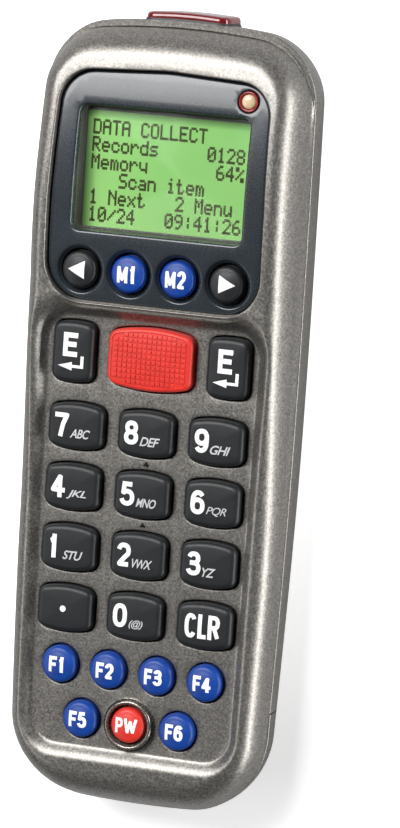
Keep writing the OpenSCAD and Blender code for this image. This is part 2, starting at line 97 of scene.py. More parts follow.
def top_z(y):
    """Height of the front along the body: the arch, easing down to the rim."""
    if y > ARCH_FOOT:
        return arch_z(y)
    rise = 0.35 * ease(-(y + 20) / 40)
    droop = 0.012 * (y + 64) ** 2 if y < -64 else 0
    return RIM + rise - droop + (arch_z(ARCH_FOOT) - RIM) * ease((y + 20) / 44)


def bezel_z(y):
    return arch_z(y) - BEZEL_DROP


def bezel_surface(x, y):
    return bezel_z(y)


def tuck(y, z):
    """Narrows the lower body towards its back and its -Y end."""
    return 1 - 0.036 * ease(-y / 70) * max(0.0, SEAM - z) / SEAM


def corner_point(inset, radius, angle, top):
    """A point of the rounded corner, found by stepping until it fits the bowed side and end."""
    x, y = 20.0, (60.0 if top else -60.0)
    for _ in range(8):
        from_side = radius - (radius - inset) * math.cos(angle)
        from_end = radius - (radius - inset) * math.sin(angle)
        y2 = end_top(x) - from_end if top else end_bottom(x) + from_end
        x, y = half_w(y2) - from_side, y2
    return x, y


# steps along half an outline: bottom end, each corner, side below and above the door cut, top end
BOTTOM_STEPS, CORNER_STEPS, LOWER_STEPS, UPPER_STEPS, TOP_STEPS = 10, 16, 5, 70, 10


def ring(inset, part="all"):
    """Inset outline, counter-clockwise from the -Y end; part is the run above or below the cut."""
    turns = [i / CORNER_STEPS for i in range(CORNER_STEPS + 1)]
    bottom = [corner_point(inset, BOTTOM_CORNER, math.pi / 2 * (1 - t), False) for t in turns]
    top = [corner_point(inset, TOP_CORNER, math.pi / 2 * i / CORNER_STEPS, True)
           for i in range(CORNER_STEPS + 1)]
    right = []
    for i in range(BOTTOM_STEPS):
        x = bottom[0][0] * i / BOTTOM_STEPS
        right.append((x, end_bottom(x) + inset))
    right += bottom
    for i in range(1, LOWER_STEPS):
        y = bottom[-1][1] + (DOOR_Y - bottom[-1][1]) * i / LOWER_STEPS
        right.append((half_w(y) - inset, y))
    door = len(right)
    for i in range(UPPER_STEPS):
        y = DOOR_Y + (top[0][1] - DOOR_Y) * i / UPPER_STEPS
        right.append((half_w(y) - inset, y))
    right += top
    for i in range(TOP_STEPS - 1, -1, -1):
        x = top[-1][0] * i / TOP_STEPS
        right.append((x, end_top(x) - inset))
    full = right + [(-x, y) for x, y in right[-2:0:-1]]
    left_door = 2 * (len(right) - 1) - door
    if part == "upper":
        return full[door:left_door + 1]
    if part == "lower":
        return full[left_door:] + full[:door + 1]
    return full


# ------------------------------------------------------------------ meshes
class Geo:
    """Points in millimetres, faces and their material slots."""

    def __init__(self):
        self.points, self.faces, self.slots = [], [], []

    def add(self, points, faces, mat=0):
        base = len(self.points)
        self.points += [tuple(map(float, p)) for p in points]
        for face in faces:
            self.faces.append([base + i for i in face])
            self.slots.append(mat)

    def strip(self, rings, closed=True, mat=0, flip=False):
        n = len(rings[0])
        quads = []
        for k in range(len(rings) - 1):
            for i in range(n if closed else n - 1):
                j = (i + 1) % n
                quad = [k * n + i, k * n + j, (k + 1) * n + j, (k + 1) * n + i]
                quads.append(quad[::-1] if flip else quad)
        self.add([p for r in rings for p in r], quads, mat)

    def cap(self, loop, mat=0, flip=False):
        face = list(range(len(loop)))
        self.add(loop, [face[::-1] if flip else face], mat)

    def solid(self, rings):
        self.strip(rings)
        self.cap(rings[-1])
        self.cap(rings[0], flip=True)

    def chain(self, rings):
        """Bands with points of their own, to be welded later, closed by the last ring."""
        for a, b in zip(rings, rings[1:]):
            self.strip([a, b])
        self.cap(rings[-1])

    def box(self, x0, y0, z0, x1, y1, z1):
        self.add([(x, y, z) for z in (z0, z1) for y in (y0, y1) for x in (x0, x1)],
                 ((0, 2, 3, 1), (4, 5, 7, 6), (0, 1, 5, 4), (1, 3, 7, 5), (3, 2, 6, 7), (2, 0, 4, 6)))


def bevel_edges(ob, width):
    mod = ob.modifiers.new("edge", "BEVEL")
    mod.width = width * MM
    mod.segments = 2
    mod.limit_method = "ANGLE"
    mod.angle_limit = math.radians(35)


def apply_modifiers(ob):
    depsgraph = bpy.context.evaluated_depsgraph_get()
    depsgraph.update()
    mesh = bpy.data.meshes.new_from_object(ob.evaluated_get(depsgraph))
    ob.modifiers.clear()
    old = ob.data
    ob.data = mesh
    bpy.data.meshes.remove(old)
    mesh.name = ob.name


def piece(name, geo, materials, body="casing", replaces=None, angle=40.0, weld=True,
          wall=None, bevel=None, up=None):
    """Makes an object; wall thickens a skin, and up (1 or -1) says which way the skin faces."""
    mesh = bpy.data.meshes.new(name)
    mesh.from_pydata([(x * MM, y * MM, z * MM) for x, y, z in geo.points], [], geo.faces)
    mesh.polygons.foreach_set("material_index", geo.slots)
    mesh.update()
    bm = bmesh.new()
    bm.from_mesh(mesh)
    if weld:
        bmesh.ops.remove_doubles(bm, verts=bm.verts, dist=0.002 * MM)
    bmesh.ops.dissolve_degenerate(bm, dist=1e-7, edges=bm.edges)
    bmesh.ops.recalc_face_normals(bm, faces=bm.faces)
    if up is not None:
        bm.normal_update()
        if sum(face.normal.z * face.calc_area() for face in bm.faces) * up < 0:
            bmesh.ops.reverse_faces(bm, faces=bm.faces)
    bm.to_mesh(mesh)
    bm.free()
    for material in materials:
        mesh.materials.append(material)
    ob = bpy.data.objects.new(name, mesh)
    bpy.context.scene.collection.objects.link(ob)
    if wall:
        mod = ob.modifiers.new("wall", "SOLIDIFY")
        mod.thickness = wall * MM
        mod.offset = -1
        apply_modifiers(ob)
    if bevel:
        bevel_edges(ob, bevel)
        apply_modifiers(ob)
    ob.data.shade_smooth()
    ob.data.set_sharp_from_angle(angle=math.radians(angle))
    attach(ob, body)
    if replaces:
        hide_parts(replaces)


# ------------------------------------------------------------------ plan loops and sheets
def inside(loop, points):
    """Which points lie inside the loop, by counting crossings."""
    p = np.asarray(loop, float)
    q = np.asarray(points, float)
    x, y = q[:, 0][:, None], q[:, 1][:, None]
    x0, y0 = p[:, 0][None], p[:, 1][None]
    x1, y1 = np.roll(p[:, 0], -1)[None], np.roll(p[:, 1], -1)[None]
    crosses = (y0 > y) != (y1 > y)
    with np.errstate(divide="ignore", invalid="ignore"):
        hit = (x1 - x0) * (y - y0) / (y1 - y0) + x0
    return (np.sum(crosses & (x < hit), axis=1) % 2) == 1


def loop_dist(loops, points):
    """Distance in plan from each point to the nearest loop, in batches to save memory."""
    best = np.full(len(points), 1e9)
    q = np.asarray(points, float)
    for loop in loops:
        a = np.asarray(loop, float)[:, :2]
        side = (np.roll(a, -1, axis=0) - a)[None]
        for s in range(0, len(q), 4000):
            off = q[s:s + 4000][:, None, :] - a[None]
            t = np.clip((off * side).sum(2) / np.maximum((side * side).sum(2), 1e-12), 0, 1)
            dist = np.sqrt(((off - side * t[..., None]) ** 2).sum(2)).min(1)
            best[s:s + 4000] = np.minimum(best[s:s + 4000], dist)
    return best


def staggered(x0, x1, y0, y1, step, row_step):
    """Grid of points with every other row moved half a step."""
    rows, j, y = [], 0, y0
    while y < y1:
        rows += [(x, y) for x in np.arange(x0 + (step / 2 if j % 2 else 0), x1, step)]
        y += row_step
        j += 1
    return rows


def per_point(surface):
    return lambda points: [surface(x, y) for x, y in points]


def sheet(outer, holes, heights, step=1.4, margin=0.55, extra=None):
    """Triangles of a plan region with holes.

    Loop points that have a z keep it; heights gives the z of the others. extra replaces the
    grid of inner points, which stay at least margin away from the loops.
    """
    loops = [outer] + list(holes)
    given, edges = [], []
    for loop in loops:
        base, n = len(given), len(loop)
        given += [tuple(map(float, p)) for p in loop]
        edges += [(base + i, base + (i + 1) % n) for i in range(n)]
    if extra is None:
        a = np.array([p[:2] for p in outer], float)
        (x0, y0), (x1, y1) = a.min(0), a.max(0)
        extra = staggered(x0, x1, y0 + step / 2, y1, step, step * 0.866)

    def in_region(points):
        keep = inside(outer, points)
        for hole in holes:
            keep &= ~inside(hole, points)
        return keep

    inner = np.array(extra, float)
    inner = inner[in_region(inner)]
    inner = inner[loop_dist(loops, inner) > margin]
    plan = [p[:2] for p in given] + [tuple(map(float, p)) for p in inner]
    verts, _, faces, sources, *_ = delaunay_2d_cdt([Vector(p) for p in plan], edges, [], 0, 1e-6)
    verts = np.array([(v[0], v[1]) for v in verts])
    known = {}
    for i, source in enumerate(sources):
        for q in source:
            if q < len(given):
                verts[i] = given[q][:2]
                if len(given[q]) == 3:
                    known[i] = given[q][2]
    tri = np.array([f for f in faces if len(f) == 3])
    tri = tri[in_region(verts[tri].mean(axis=1))]
    a, b, c = verts[tri[:, 0]], verts[tri[:, 1]], verts[tri[:, 2]]
    area = (b[:, 0] - a[:, 0]) * (c[:, 1] - a[:, 1]) - (b[:, 1] - a[:, 1]) * (c[:, 0] - a[:, 0])
    tri = tri[np.abs(area) > 1e-7]
    area = area[np.abs(area) > 1e-7]
    tri[area < 0] = tri[area < 0][:, ::-1]
    used = np.unique(tri)
    new_index = -np.ones(len(verts), int)
    new_index[used] = np.arange(len(used))
    points = [(verts[i][0], verts[i][1], known.get(i, float(z)))
              for i, z in zip(used, heights(verts[used]))]
    return points, new_index[tri].tolist()


def circle(cx, cy, r, n):
    turns = [2 * math.pi * i / n for i in range(n)]
    return [(cx + r * math.cos(t), cy + r * math.sin(t)) for t in turns]


def rounded_rect(cx, cy, w, h, r, corner_steps=6, side_steps=8, grow=0.0):
    out = []
    a, b = w / 2 - r, h / 2 - r
    corners = [(a, b, 0), (-a, b, 90), (-a, -b, 180), (a, -b, 270)]
    reach = r + grow
    for k, (x, y, start) in enumerate(corners):
        for i in range(corner_steps + 1):
            t = math.radians(start + 90 * i / corner_steps)
            out.append((cx + x + reach * math.cos(t), cy + y + reach * math.sin(t)))
        next_x, next_y, next_start = corners[(k + 1) % 4]
        t = math.radians(next_start)
        p = out[-1]
        q = (cx + next_x + reach * math.cos(t), cy + next_y + reach * math.sin(t))
        for i in range(1, side_steps):
            out.append((p[0] + (q[0] - p[0]) * i / side_steps,
                        p[1] + (q[1] - p[1]) * i / side_steps))
    return out


def barrel(cx, cy, w, h, bulge, r, grow):
    """Outline with straight sides, arched ends and rounded corners."""
    arch_steps, corner_steps, side_steps = 14, 6, 7
    arch_r = ((w / 2) ** 2 + bulge * bulge) / (2 * bulge)
    arch_y = h / 2 - arch_r
    inner_r, corner_x = arch_r - r, w / 2 - r
    half_turn = math.asin(corner_x / inner_r)
    corner_y = arch_y + math.sqrt(inner_r * inner_r - corner_x * corner_x)
    reach = r + grow
    half = []
    for i in range(arch_steps + 1):  # arched +Y end, right to left
        t = half_turn - 2 * half_turn * i / arch_steps
        nx, ny = math.sin(t), math.cos(t)
        half.append((inner_r * nx + reach * nx, arch_y + inner_r * ny + reach * ny))
    start = math.pi / 2 + half_turn
    for i in range(1, corner_steps + 1):  # +Y left corner
        a = start + (math.pi - start) * i / corner_steps
        half.append((-corner_x + reach * math.cos(a), corner_y + reach * math.sin(a)))
    for i in range(1, side_steps + 1):
        half.append((-corner_x - r - grow, corner_y - 2 * corner_y * i / side_steps))
    for i in range(1, corner_steps):  # -Y left corner
        a = math.pi + (math.pi - start) * i / corner_steps
        half.append((-corner_x + reach * math.cos(a), -corner_y + reach * math.sin(a)))
    return [(cx + x, cy + y) for x, y in half + [(-x, -y) for x, y in half]]


def at_height(loop, z):
    """Lifts a plan loop to z, which may be a number or a surface z(x, y)."""
    return [(p[0], p[1], z(p[0], p[1]) if callable(z) else z) for p in loop]


def stack(outline, profile):
    """Rings outline(size) at height z, for each (size, z)."""
    return [at_height(outline(size), z) for size, z in profile]


def sunk(outline, profile, surface):
    """Rings outline(size) lying drop below a surface, for each (size, drop)."""
    return [at_height(outline(size), lambda x, y: surface(x, y) - drop) for size, drop in profile]


def lathe(geo, cx, cy, profile, n, mat=0, axis="z", caps=False):
    """Turns a profile of (radius, place along the axis)."""
    rings = []
    for r, place in profile:
        loop = circle(cx, cy, r, n)
        rings.append([(a, b, place) if axis == "z" else (a, place, b) for a, b in loop])
    geo.strip(rings, mat=mat)
    if caps:
        geo.cap(rings[0])
        geo.cap(rings[-1])


def window_loop(w, h, r, corner_steps, side_steps):
    """Rounded rectangle on the display's middle, as a function of its growth."""
    return lambda d: rounded_rect(0, WINDOW_Y, w, h, r, corner_steps, side_steps, d)


# ------------------------------------------------------------------ key shapes
class Key:
    """A key's place and shape; one without a height is round."""

    def __init__(self, name, x, y, color, width, height, bulge):
        self.name, self.x, self.y, self.color = name, x, y, color
        self.width, self.height, self.bulge = width, height, bulge
        self.round = height is None
        self.scan = name == "key_scan"
        self.nav = y == NAV_Y
        self.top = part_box(name)[1][2] / MM
        self.edge = 0.72 if self.scan else 1.1  # width of the rounded edge in plan
        self.crown = 0.30 if self.scan else 0.42 if self.round else 0.16
        self.edge_drop = 0.8 if self.scan else 1.15 if self.round else 1.05
        # the crown's rim as bearing and reach from the key's middle
        rim = np.array(self.outline(-self.edge)) - (x, y)
        bearing, reach = np.arctan2(rim[:, 1], rim[:, 0]), np.hypot(rim[:, 0], rim[:, 1])
        order = np.argsort(bearing)
        self.bearing, self.reach = bearing[order], reach[order]

    def outline(self, grow=0.0):
        if self.round:
            return circle(self.x, self.y, self.width / 2 + grow, 56)
        corner = 2.1 if self.width > 14 else 1.7
        return barrel(self.x, self.y, self.width, self.height, self.bulge, corner, grow)

    def surface(self, x, y):
        """Height of the key's crowned top."""
        dx, dy = x - self.x, y - self.y
        if self.round:
            s = math.hypot(dx, dy) / (self.width / 2 - self.edge)
        else:
            rim = np.interp(math.atan2(dy, dx), self.bearing, self.reach, period=2 * math.pi)
            s = math.hypot(dx, dy) / max(1e-6, float(rim))
        if s <= 1:
            return self.top - self.crown * s * s
        return self.top - self.crown - 0.05 * (s - 1)


KEYS = {}


def add_key(label, x, y, color, width=ROUND_D, height=None, bulge=0.0):
    name = "key_" + label
    KEYS[name] = Key(name, x, y, color, width, height, bulge)


for i, (label, color) in enumerate((("left", "black"), ("m1", "blue"), ("m2", "blue"),
                                    ("right", "black"))):
    add_key(label, (i - 1.5) * 9.85, NAV_Y, color)
add_key("enter_left", -15.6, ENTER_Y, "black", 8.4, 11.5, 0.5)
add_key("scan", 0, ENTER_Y, "red", 17.0, 11.8, 1.1)
add_key("enter_right", 15.6, ENTER_Y, "black", 8.4, 11.5, 0.5)
for i, label in enumerate(("7", "8", "9", "4", "5", "6", "1", "2", "3", "dot", "0", "clear")):
    add_key(label, (i % 3 - 1) * PITCH_X, DIGIT_Y - (i // 3) * PITCH_Y, "black",
            DIGIT_W, DIGIT_H, 0.85)
for i in range(4):
    add_key("f%d" % (i + 1), (i - 1.5) * 9.83, F_Y, "blue")
add_key("f5", -9.8, POWER_Y, "blue")
add_key("power", 0, POWER_Y, "red", ROUND_D - 0.2)
add_key("f6", 9.8, POWER_Y, "blue")


# ------------------------------------------------------------------ materials
class Material:
    """A node material with helpers that add nodes and return their output sockets."""

    def __init__(self, name, base=(0.5, 0.5, 0.5), roughness=0.5, metallic=0.0):
        self.data = bpy.data.materials.new(name)
        self.data.use_nodes = True
        self.nodes, self.links = self.data.node_tree.nodes, self.data.node_tree.links
        self.shader = self.nodes["Principled BSDF"]
        self.set({"Base Color": base, "Roughness": roughness, "Metallic": metallic})

    def feed(self, socket, value):
        """Links another socket, or sets a value; colours are given as RGB."""
        if isinstance(value, bpy.types.NodeSocket):
            self.links.new(value, socket)
        else:
            socket.default_value = (*value, 1) if socket.type == "RGBA" else value

    def set(self, inputs):
        for name, value in inputs.items():
            self.feed(self.shader.inputs[name], value)

    def node(self, kind, inputs=(), **properties):
        """Adds a node; inputs maps socket names or numbers to values."""
        node = self.nodes.new("ShaderNode" + kind)
        for name, value in properties.items():
            setattr(node, name, value)
        for key, value in dict(inputs).items():
            self.feed(node.inputs[key], value)
        return node

    def position(self, stretch=(1, 1, 1)):
        """Object position in millimetres, times stretch."""
        source = self.node("TexCoord").outputs["Object"]
        scale = tuple(1000.0 * s for s in stretch)
        return self.node("Mapping", {"Vector": source, "Scale": scale}).outputs["Vector"]

    def noise(self, vector, scale, detail=2.0, roughness=0.5):
        return self.node("TexNoise", {"Vector": vector, "Scale": scale, "Detail": detail,
                                      "Roughness": roughness}).outputs["Fac"]

    def ramp(self, factor, stops):
        node = self.node("ValToRGB", {"Fac": factor})
        elements = node.color_ramp.elements
        while len(elements) < len(stops):
            elements.new(0.5)
        for element, (place, color) in zip(elements, stops):
            element.position = place
            element.color = (*color, 1)
        return node.outputs["Color"]

    def mottle(self, factor, base, low, high):
        """Base colour varied between low and high times itself."""
        return self.ramp(factor, [(0.3, tuple(x * low for x in base)),
                                  (0.7, tuple(min(1, x * high) for x in base))])

    def span(self, factor, from_min, from_max, to_min, to_max):
        return self.node("MapRange", {0: factor, 1: from_min, 2: from_max, 3: to_min,
                                      4: to_max}).outputs[0]

    def noise_span(self, factor, low, high):
        """The useful middle of a noise, spread from low to high."""
        return self.span(factor, 0.3, 0.7, low, high)

    def mix(self, factor, a, b, mode="MIX"):
        return self.node("Mix", {0: factor, 6: a, 7: b}, data_type="RGBA",
                         blend_type=mode).outputs[2]

    def math(self, operation, *values):
        return self.node("Math", enumerate(values), operation=operation).outputs[0]

    def bump(self, height, strength, distance):
        self.set({"Normal": self.node("Bump", {"Strength": strength, "Distance": distance,
                                               "Height": height}).outputs["Normal"]})


def lacquer(name, tint=(1, 1, 1), roughness=0.37):
    """Speckled metallic paint."""
    m = Material(name, metallic=0.78)
    position = m.position()
    fine = m.noise(position, 2.6, 2.0, 0.6)
    mid = m.noise(position, 1.1, 3.0, 0.55)
    wide = m.noise(position, 0.03)
    dark, body, light = (tuple(x * t for x, t in zip(color, tint)) for color in (
        (0.128, 0.121, 0.110), (0.205, 0.195, 0.178), (0.305, 0.292, 0.272)))
    speck = m.ramp(fine, [(0.36, dark), (0.50, body), (0.64, light)])
    color = m.mix(0.22, speck, m.ramp(mid, [(0.35, dark), (0.65, light)]))
    color = m.mix(m.noise_span(wide, 0.0, 0.10), color, tuple(x * 0.75 for x in body))
    m.set({"Base Color": color,
           "Roughness": m.noise_span(fine, roughness - 0.05, roughness + 0.08),
           "Coat Weight": 0.10, "Coat Roughness": 0.40})
    m.bump(fine, strength=0.26, distance=0.00004)
    return m.data


def rubber(name, base, roughness, sheen, vary, specular):
    m = Material(name, base, roughness)
    position = m.position()
    fine = m.noise(position, 5.0, 2.0, 0.6)
    wide = m.noise(position, 0.45, 3.0, 0.6)
    m.set({"Base Color": m.mottle(wide, base, 1 - vary, 1 + vary),
           "Roughness": m.noise_span(fine, roughness - 0.06, roughness + 0.08),
           "Specular IOR Level": specular, "Sheen Weight": sheen, "Sheen Roughness": 0.4})
    m.bump(fine, strength=0.18, distance=0.00003)
    return m.data


def plastic(name, base, roughness, grain, bump, vary=0.12, coat=0.0, metallic=0.0):
    m = Material(name, base, roughness, metallic)
    position = m.position()
    fine = m.noise(position, grain, 3.0, 0.6)
    wide = m.noise(position, 0.12)
    m.set({"Base Color": m.mottle(wide, base, 1 - vary, 1 + vary),
           "Roughness": m.noise_span(fine, roughness - 0.04, roughness + 0.05),
           "Coat Weight": coat, "Coat Roughness": 0.12, "Specular IOR Level": 0.5})
    m.bump(fine, strength=bump, distance=0.00002)
    return m.data


def bare_metal(name, base, stretch):
    roughness = 0.28
    m = Material(name, base, roughness, 1.0)
    grain = m.noise(m.position(stretch), 1.0, 3.0, 0.6)
    m.set({"Base Color": m.mottle(grain, base, 0.8, 1.0),
           "Roughness": m.noise_span(grain, roughness - 0.07, roughness + 0.1)})
    return m.data


def tinted(name, base, roughness, transmission, coat=0.5, glow=0.0):
    """Coloured clear plastic or glass."""
    m = Material(name, base, roughness)
    noise = m.noise(m.position(), 1.2)
    m.set({"Transmission Weight": transmission, "IOR": 1.49,
           "Coat Weight": coat, "Coat Roughness": 0.05,
           "Base Color": m.mottle(noise, base, 0.85, 1.1),
           "Roughness": m.noise_span(noise, roughness, roughness + 0.05)})
    if glow:
        m.set({"Emission Color": base, "Emission Strength": glow})
    return m.data


M_SHELL = lacquer("shell_lacquer")
M_DOOR = lacquer("door_lacquer", tint=(0.98, 0.985, 1.0))
M_PIP = lacquer("tactile_mark", tint=(0.07, 0.07, 0.07), roughness=0.5)
M_RING = lacquer("ring_lacquer", tint=(1.15, 1.13, 1.10), roughness=0.22)
M_BEZEL = plastic("bezel_lacquer", (0.019, 0.025, 0.031), 0.27, grain=3.0, bump=0.05, vary=0.10,
                  coat=0.35)
M_RUBBER = {
    "black": rubber("rubber_black", (0.0105, 0.0115, 0.0130), 0.44, sheen=0.03, vary=0.12,
                    specular=0.36),
    "blue": rubber("rubber_blue", (0.0030, 0.042, 0.255), 0.40, sheen=0.03, vary=0.10,
                   specular=0.34),
    "red": rubber("rubber_red", (0.62, 0.026, 0.016), 0.44, sheen=0.10, vary=0.08, specular=0.40),
}
M_WHITE = plastic("legend_white", (0.86, 0.86, 0.86), 0.55, grain=6.0, bump=0.05, vary=0.03)
M_GREY = plastic("legend_grey", (0.50, 0.51, 0.52), 0.55, grain=6.0, bump=0.05, vary=0.05)
M_FRAME = plastic("display_surround", (0.060, 0.056, 0.050), 0.5, grain=3.0, bump=0.2, vary=0.15)
M_DARK = plastic("moulded_black", (0.018, 0.018, 0.02), 0.5, grain=2.0, bump=0.3)
M_OFFWHITE = plastic("moulded_white", (0.72, 0.72, 0.68), 0.45, grain=2.0, bump=0.15)
M_BOARD = plastic("solder_mask", (0.02, 0.13, 0.055), 0.3, grain=1.2, bump=0.2, vary=0.25,
                  coat=0.3)
M_CHIP = plastic("chip_epoxy", (0.02, 0.02, 0.022), 0.6, grain=4.0, bump=0.3)
M_GOLD = bare_metal("gold_plate", (0.83, 0.60, 0.24), stretch=(3, 3, 3))
M_STEEL = bare_metal("nickel_steel", (0.62, 0.62, 0.63), stretch=(4, 4, 4))
M_RIBBON = plastic("polyimide", (0.42, 0.20, 0.05), 0.35, grain=2.0, bump=0.1)
M_CELL = plastic("cell_sleeve", (0.03, 0.10, 0.32), 0.25, grain=1.5, bump=0.06, coat=0.4)
M_BAND = plastic("cell_band", (0.72, 0.50, 0.16), 0.28, grain=1.5, bump=0.06, coat=0.4,
                 metallic=0.5)
M_IR = plastic("infrared_window", (0.012, 0.003, 0.004), 0.12, grain=1.0, bump=0.02, coat=0.6)
M_INNER = plastic("shell_inside", (0.10, 0.10, 0.10), 0.55, grain=2.0, bump=0.3)


def lcd_material():
    """Green panel with a fine cell grid, and painted shadow from the surround darkening it towards
    its left and upper edges.
    """
    m = Material("lcd_green", roughness=0.35)
    cell, line, line_strength = 0.32, 0.12, 0.10  # cell pitch, share taken by its line, darkening
    position = m.position()
    wide = m.noise(position, 0.05)
    fine = m.noise(position, 4.0, 1.0)
    base = m.ramp(wide, [(0.3, (0.185, 0.400, 0.120)), (0.7, (0.255, 0.470, 0.150))])
    axes = m.node("SeparateXYZ", {0: position}).outputs
    lines = [m.math("LESS_THAN", m.math("FRACT", m.math("MULTIPLY", axes[i], 1 / cell)), line)
             for i in (0, 1)]
    grid = m.math("MULTIPLY", m.math("MAXIMUM", *lines), line_strength)
    color = m.mix(grid, base, (0.10, 0.30, 0.08))
    color = m.mix(m.noise_span(fine, 0.0, 0.08), color, (0.30, 0.60, 0.25))
    top = WINDOW_Y + WINDOW_H / 2
    # painted shadow: the surround's shade along the panel's left edge and top edge
    color = m.mix(1.0, color, m.span(axes[0], -16.6, -14.2, 0.30, 1.0), "MULTIPLY")
    color = m.mix(1.0, color, m.span(axes[1], top - 1.1, top - 2.6, 0.45, 1.0), "MULTIPLY")
    m.set({"Base Color": color, "Emission Color": color, "Emission Strength": 0.38,
           "Specular IOR Level": 0.25})
    return m.data


def lcd_ink():
    m = Material("lcd_segment", (0.050, 0.050, 0.016))
    noise = m.noise(m.position(), 0.9)
    m.set({"Base Color": m.ramp(noise, [(0.3, (0.055, 0.070, 0.022)),
                                        (0.7, (0.095, 0.110, 0.034))]),
           "Specular IOR Level": 0.2})
    return m.data


def cover_material():
    """Thin clear sheet: lets light straight through and adds a faint reflection."""
    m = Material("display_cover")
    m.nodes.clear()
    roughness, reflection = 0.10, 0.16
    out = m.node("OutputMaterial")
    through = m.node("BsdfTransparent", {0: (0.96, 0.98, 0.96)})
    gloss = m.node("BsdfGlossy", {"Roughness": roughness})
    fresnel = m.node("Fresnel", {0: 1.45})
    noise = m.noise(m.position(), 0.6)
    m.feed(gloss.inputs["Roughness"], m.noise_span(noise, roughness, roughness + 0.03))
    share = m.math("MULTIPLY", fresnel.outputs[0], reflection)
    mixed = m.node("MixShader", {0: share, 1: through.outputs[0], 2: gloss.outputs[0]})
    m.feed(out.inputs[0], mixed.outputs[0])
    return m.data


M_LCD = lcd_material()
M_LCDINK = lcd_ink()
M_CLEAR = cover_material()
M_SCAN = tinted("scan_red", (0.17, 0.006, 0.007), 0.10, transmission=0.20)
M_LENS = tinted("coated_lens", (0.55, 0.65, 0.8), 0.03, transmission=0.85)
M_LAMP = tinted("lamp_red", (0.7, 0.04, 0.03), 0.08, transmission=0.5)
M_LEDRING = tinted("lamp_collar", (0.26, 0.008, 0.008), 0.25, transmission=0.1)
M_LEDDOME = tinted("lamp_dome", (0.74, 0.56, 0.34), 0.26, transmission=0.15, glow=0.06)


# ------------------------------------------------------------------ front shell
def pull_in(point, inset):
    """Moves a point away from the end it is near."""
    x, y = point
    return x, y - math.copysign(0.38 * inset * ease((abs(y) - 50) / 22), y)


def roll_ring(keypad_inset, display_inset, down):
    """Ring of the rounded side, set in differently beside the keypad and beside the display,
    and lowered by down times the roll's height."""
    out = []
    for p, q in zip(ring(keypad_inset), ring(display_inset)):
        a, b = pull_in(p, keypad_inset), pull_in(q, display_inset)
        k = ease((a[1] - 38) / 18)
        x, y = a[0] + (b[0] - a[0]) * k, a[1] + (b[1] - a[1]) * k
        roll = 4.9 + 3.3 * ease((y + 35) / 60) + 0.6 * ease((y - 38) / 20)
        out.append((x, y, max(SEAM + 0.42, top_z(y) - down * roll)))
    return out


def side_wall():
    """Rings of the front's side from the seam up to where the roll starts."""
    rings = [[(x, y, SEAM + up) for x, y in ring(inset)] for inset, up in (
        (1.2, 0.12), (0.50, 0.12), (0.24, 0.16), (0.08, 0.26), (0.02, 0.36), (0.03, 0.42))]
    low, high = rings[-1], roll_ring(0.463, 0.471, 0.826)
    for t in (0.3, 0.65):
        rings.append([tuple(a + (b - a) * t for a, b in zip(p, q)) for p, q in zip(low, high)])
    return rings


def roll_rings():
    steps = 36
    rings = []
    for i in range(4, steps + 1):
        a = math.pi / 2 * i / steps
        inward = 1 - (math.cos(a) if i < steps else 0.0)
        rings.append(roll_ring(0.4 + 4.15 * inward, 0.4 + 4.7 * inward, 1 - math.sin(a)))
    return rings


def hull_loop(circles):
    """Counter-clockwise convex hull of circles given as (x, y, r)."""
    points = []
    for cx, cy, r in circles:
        points += [(cx + r * math.cos(t), cy + r * math.sin(t))
                   for t in np.linspace(0, 2 * math.pi, 97)[:-1]]
    points = sorted(set((round(x, 6), round(y, 6)) for x, y in points))

    def half(run):
        h = []
        for p in run:
            while len(h) > 1 and ((h[-1][0] - h[-2][0]) * (p[1] - h[-2][1])
                                  - (h[-1][1] - h[-2][1]) * (p[0] - h[-2][0])) <= 0:
                h.pop()
            h.append(p)
        return h
    return half(points)[:-1] + half(points[::-1])[:-1]


def even(loop, n, x, y):
    """The loop in n even steps, starting nearest to (x, y)."""
    a = np.array(loop + [loop[0]], float)
    s = np.r_[0, np.cumsum(np.hypot(*(a[1:] - a[:-1]).T))]
    t = np.linspace(0, s[-1], n + 1)[:-1]
    loop = list(zip(np.interp(t, s, a[:, 0]), np.interp(t, s, a[:, 1])))
    a = np.array(loop)
    k = int(np.argmin((a[:, 0] - x) ** 2 + (a[:, 1] - y) ** 2))
    return loop[k:] + loop[:k]


def grow_loop(loop, distance):
    a = np.array(loop, float)
    t = np.roll(a, -1, axis=0) - np.roll(a, 1, axis=0)
    t /= np.maximum(np.hypot(t[:, 0], t[:, 1]), 1e-9)[:, None]
    return [tuple(p) for p in a + np.c_[t[:, 1], -t[:, 0]] * distance]


# foot of the keypad recess
RECESS = even(hull_loop([(16.5, 13.3, 4.5), (-16.5, 13.3, 4.5),
                         (14.8, -57.8, 5.3), (-14.8, -57.8, 5.3)]), 320, 0, -63)


def recess_dist(points):
    """Distance outwards from the foot of the recess, negative inside it."""
    q = np.asarray(points, float)[:, :2]
    dist = loop_dist([RECESS], q)
    return np.where(inside(RECESS, q), -dist, dist)


def cut_recess(points):
    """Cuts the sloping sides of the recess into (x, y, z) points, leaving a soft crest."""
    soft = 1.6
    out = []
    for (x, y, z), e in zip(points, np.maximum(recess_dist(points), 0.0)):
        wall = FLOOR + 1.25 * (math.sqrt(e * e + 0.49) - 0.7)
        h = min(1.0, max(0.0, 0.5 + 0.5 * (wall - z) / soft))
        out.append((x, y, min(z, max(FLOOR, wall + (z - wall) * h - soft * h * (1 - h)))))
    return out


def bezel_loop(grow):
    circles = []
    for s in (-1, 1):
        circles += [(s * 13.8, 28.6, 7.6 + grow), (s * 14.2, 40, 7.2 + grow),
                    (s * 14.6, 57.7, 6.3 + grow)]
    # the far edge is an arc
    circles += [((30 + grow) * math.sin(t), 34.7 + (30 + grow) * math.cos(t), 0.0)
                for t in np.linspace(-0.305, 0.305, 41)]
    return even(hull_loop(circles), 240, 0, 21 - grow)


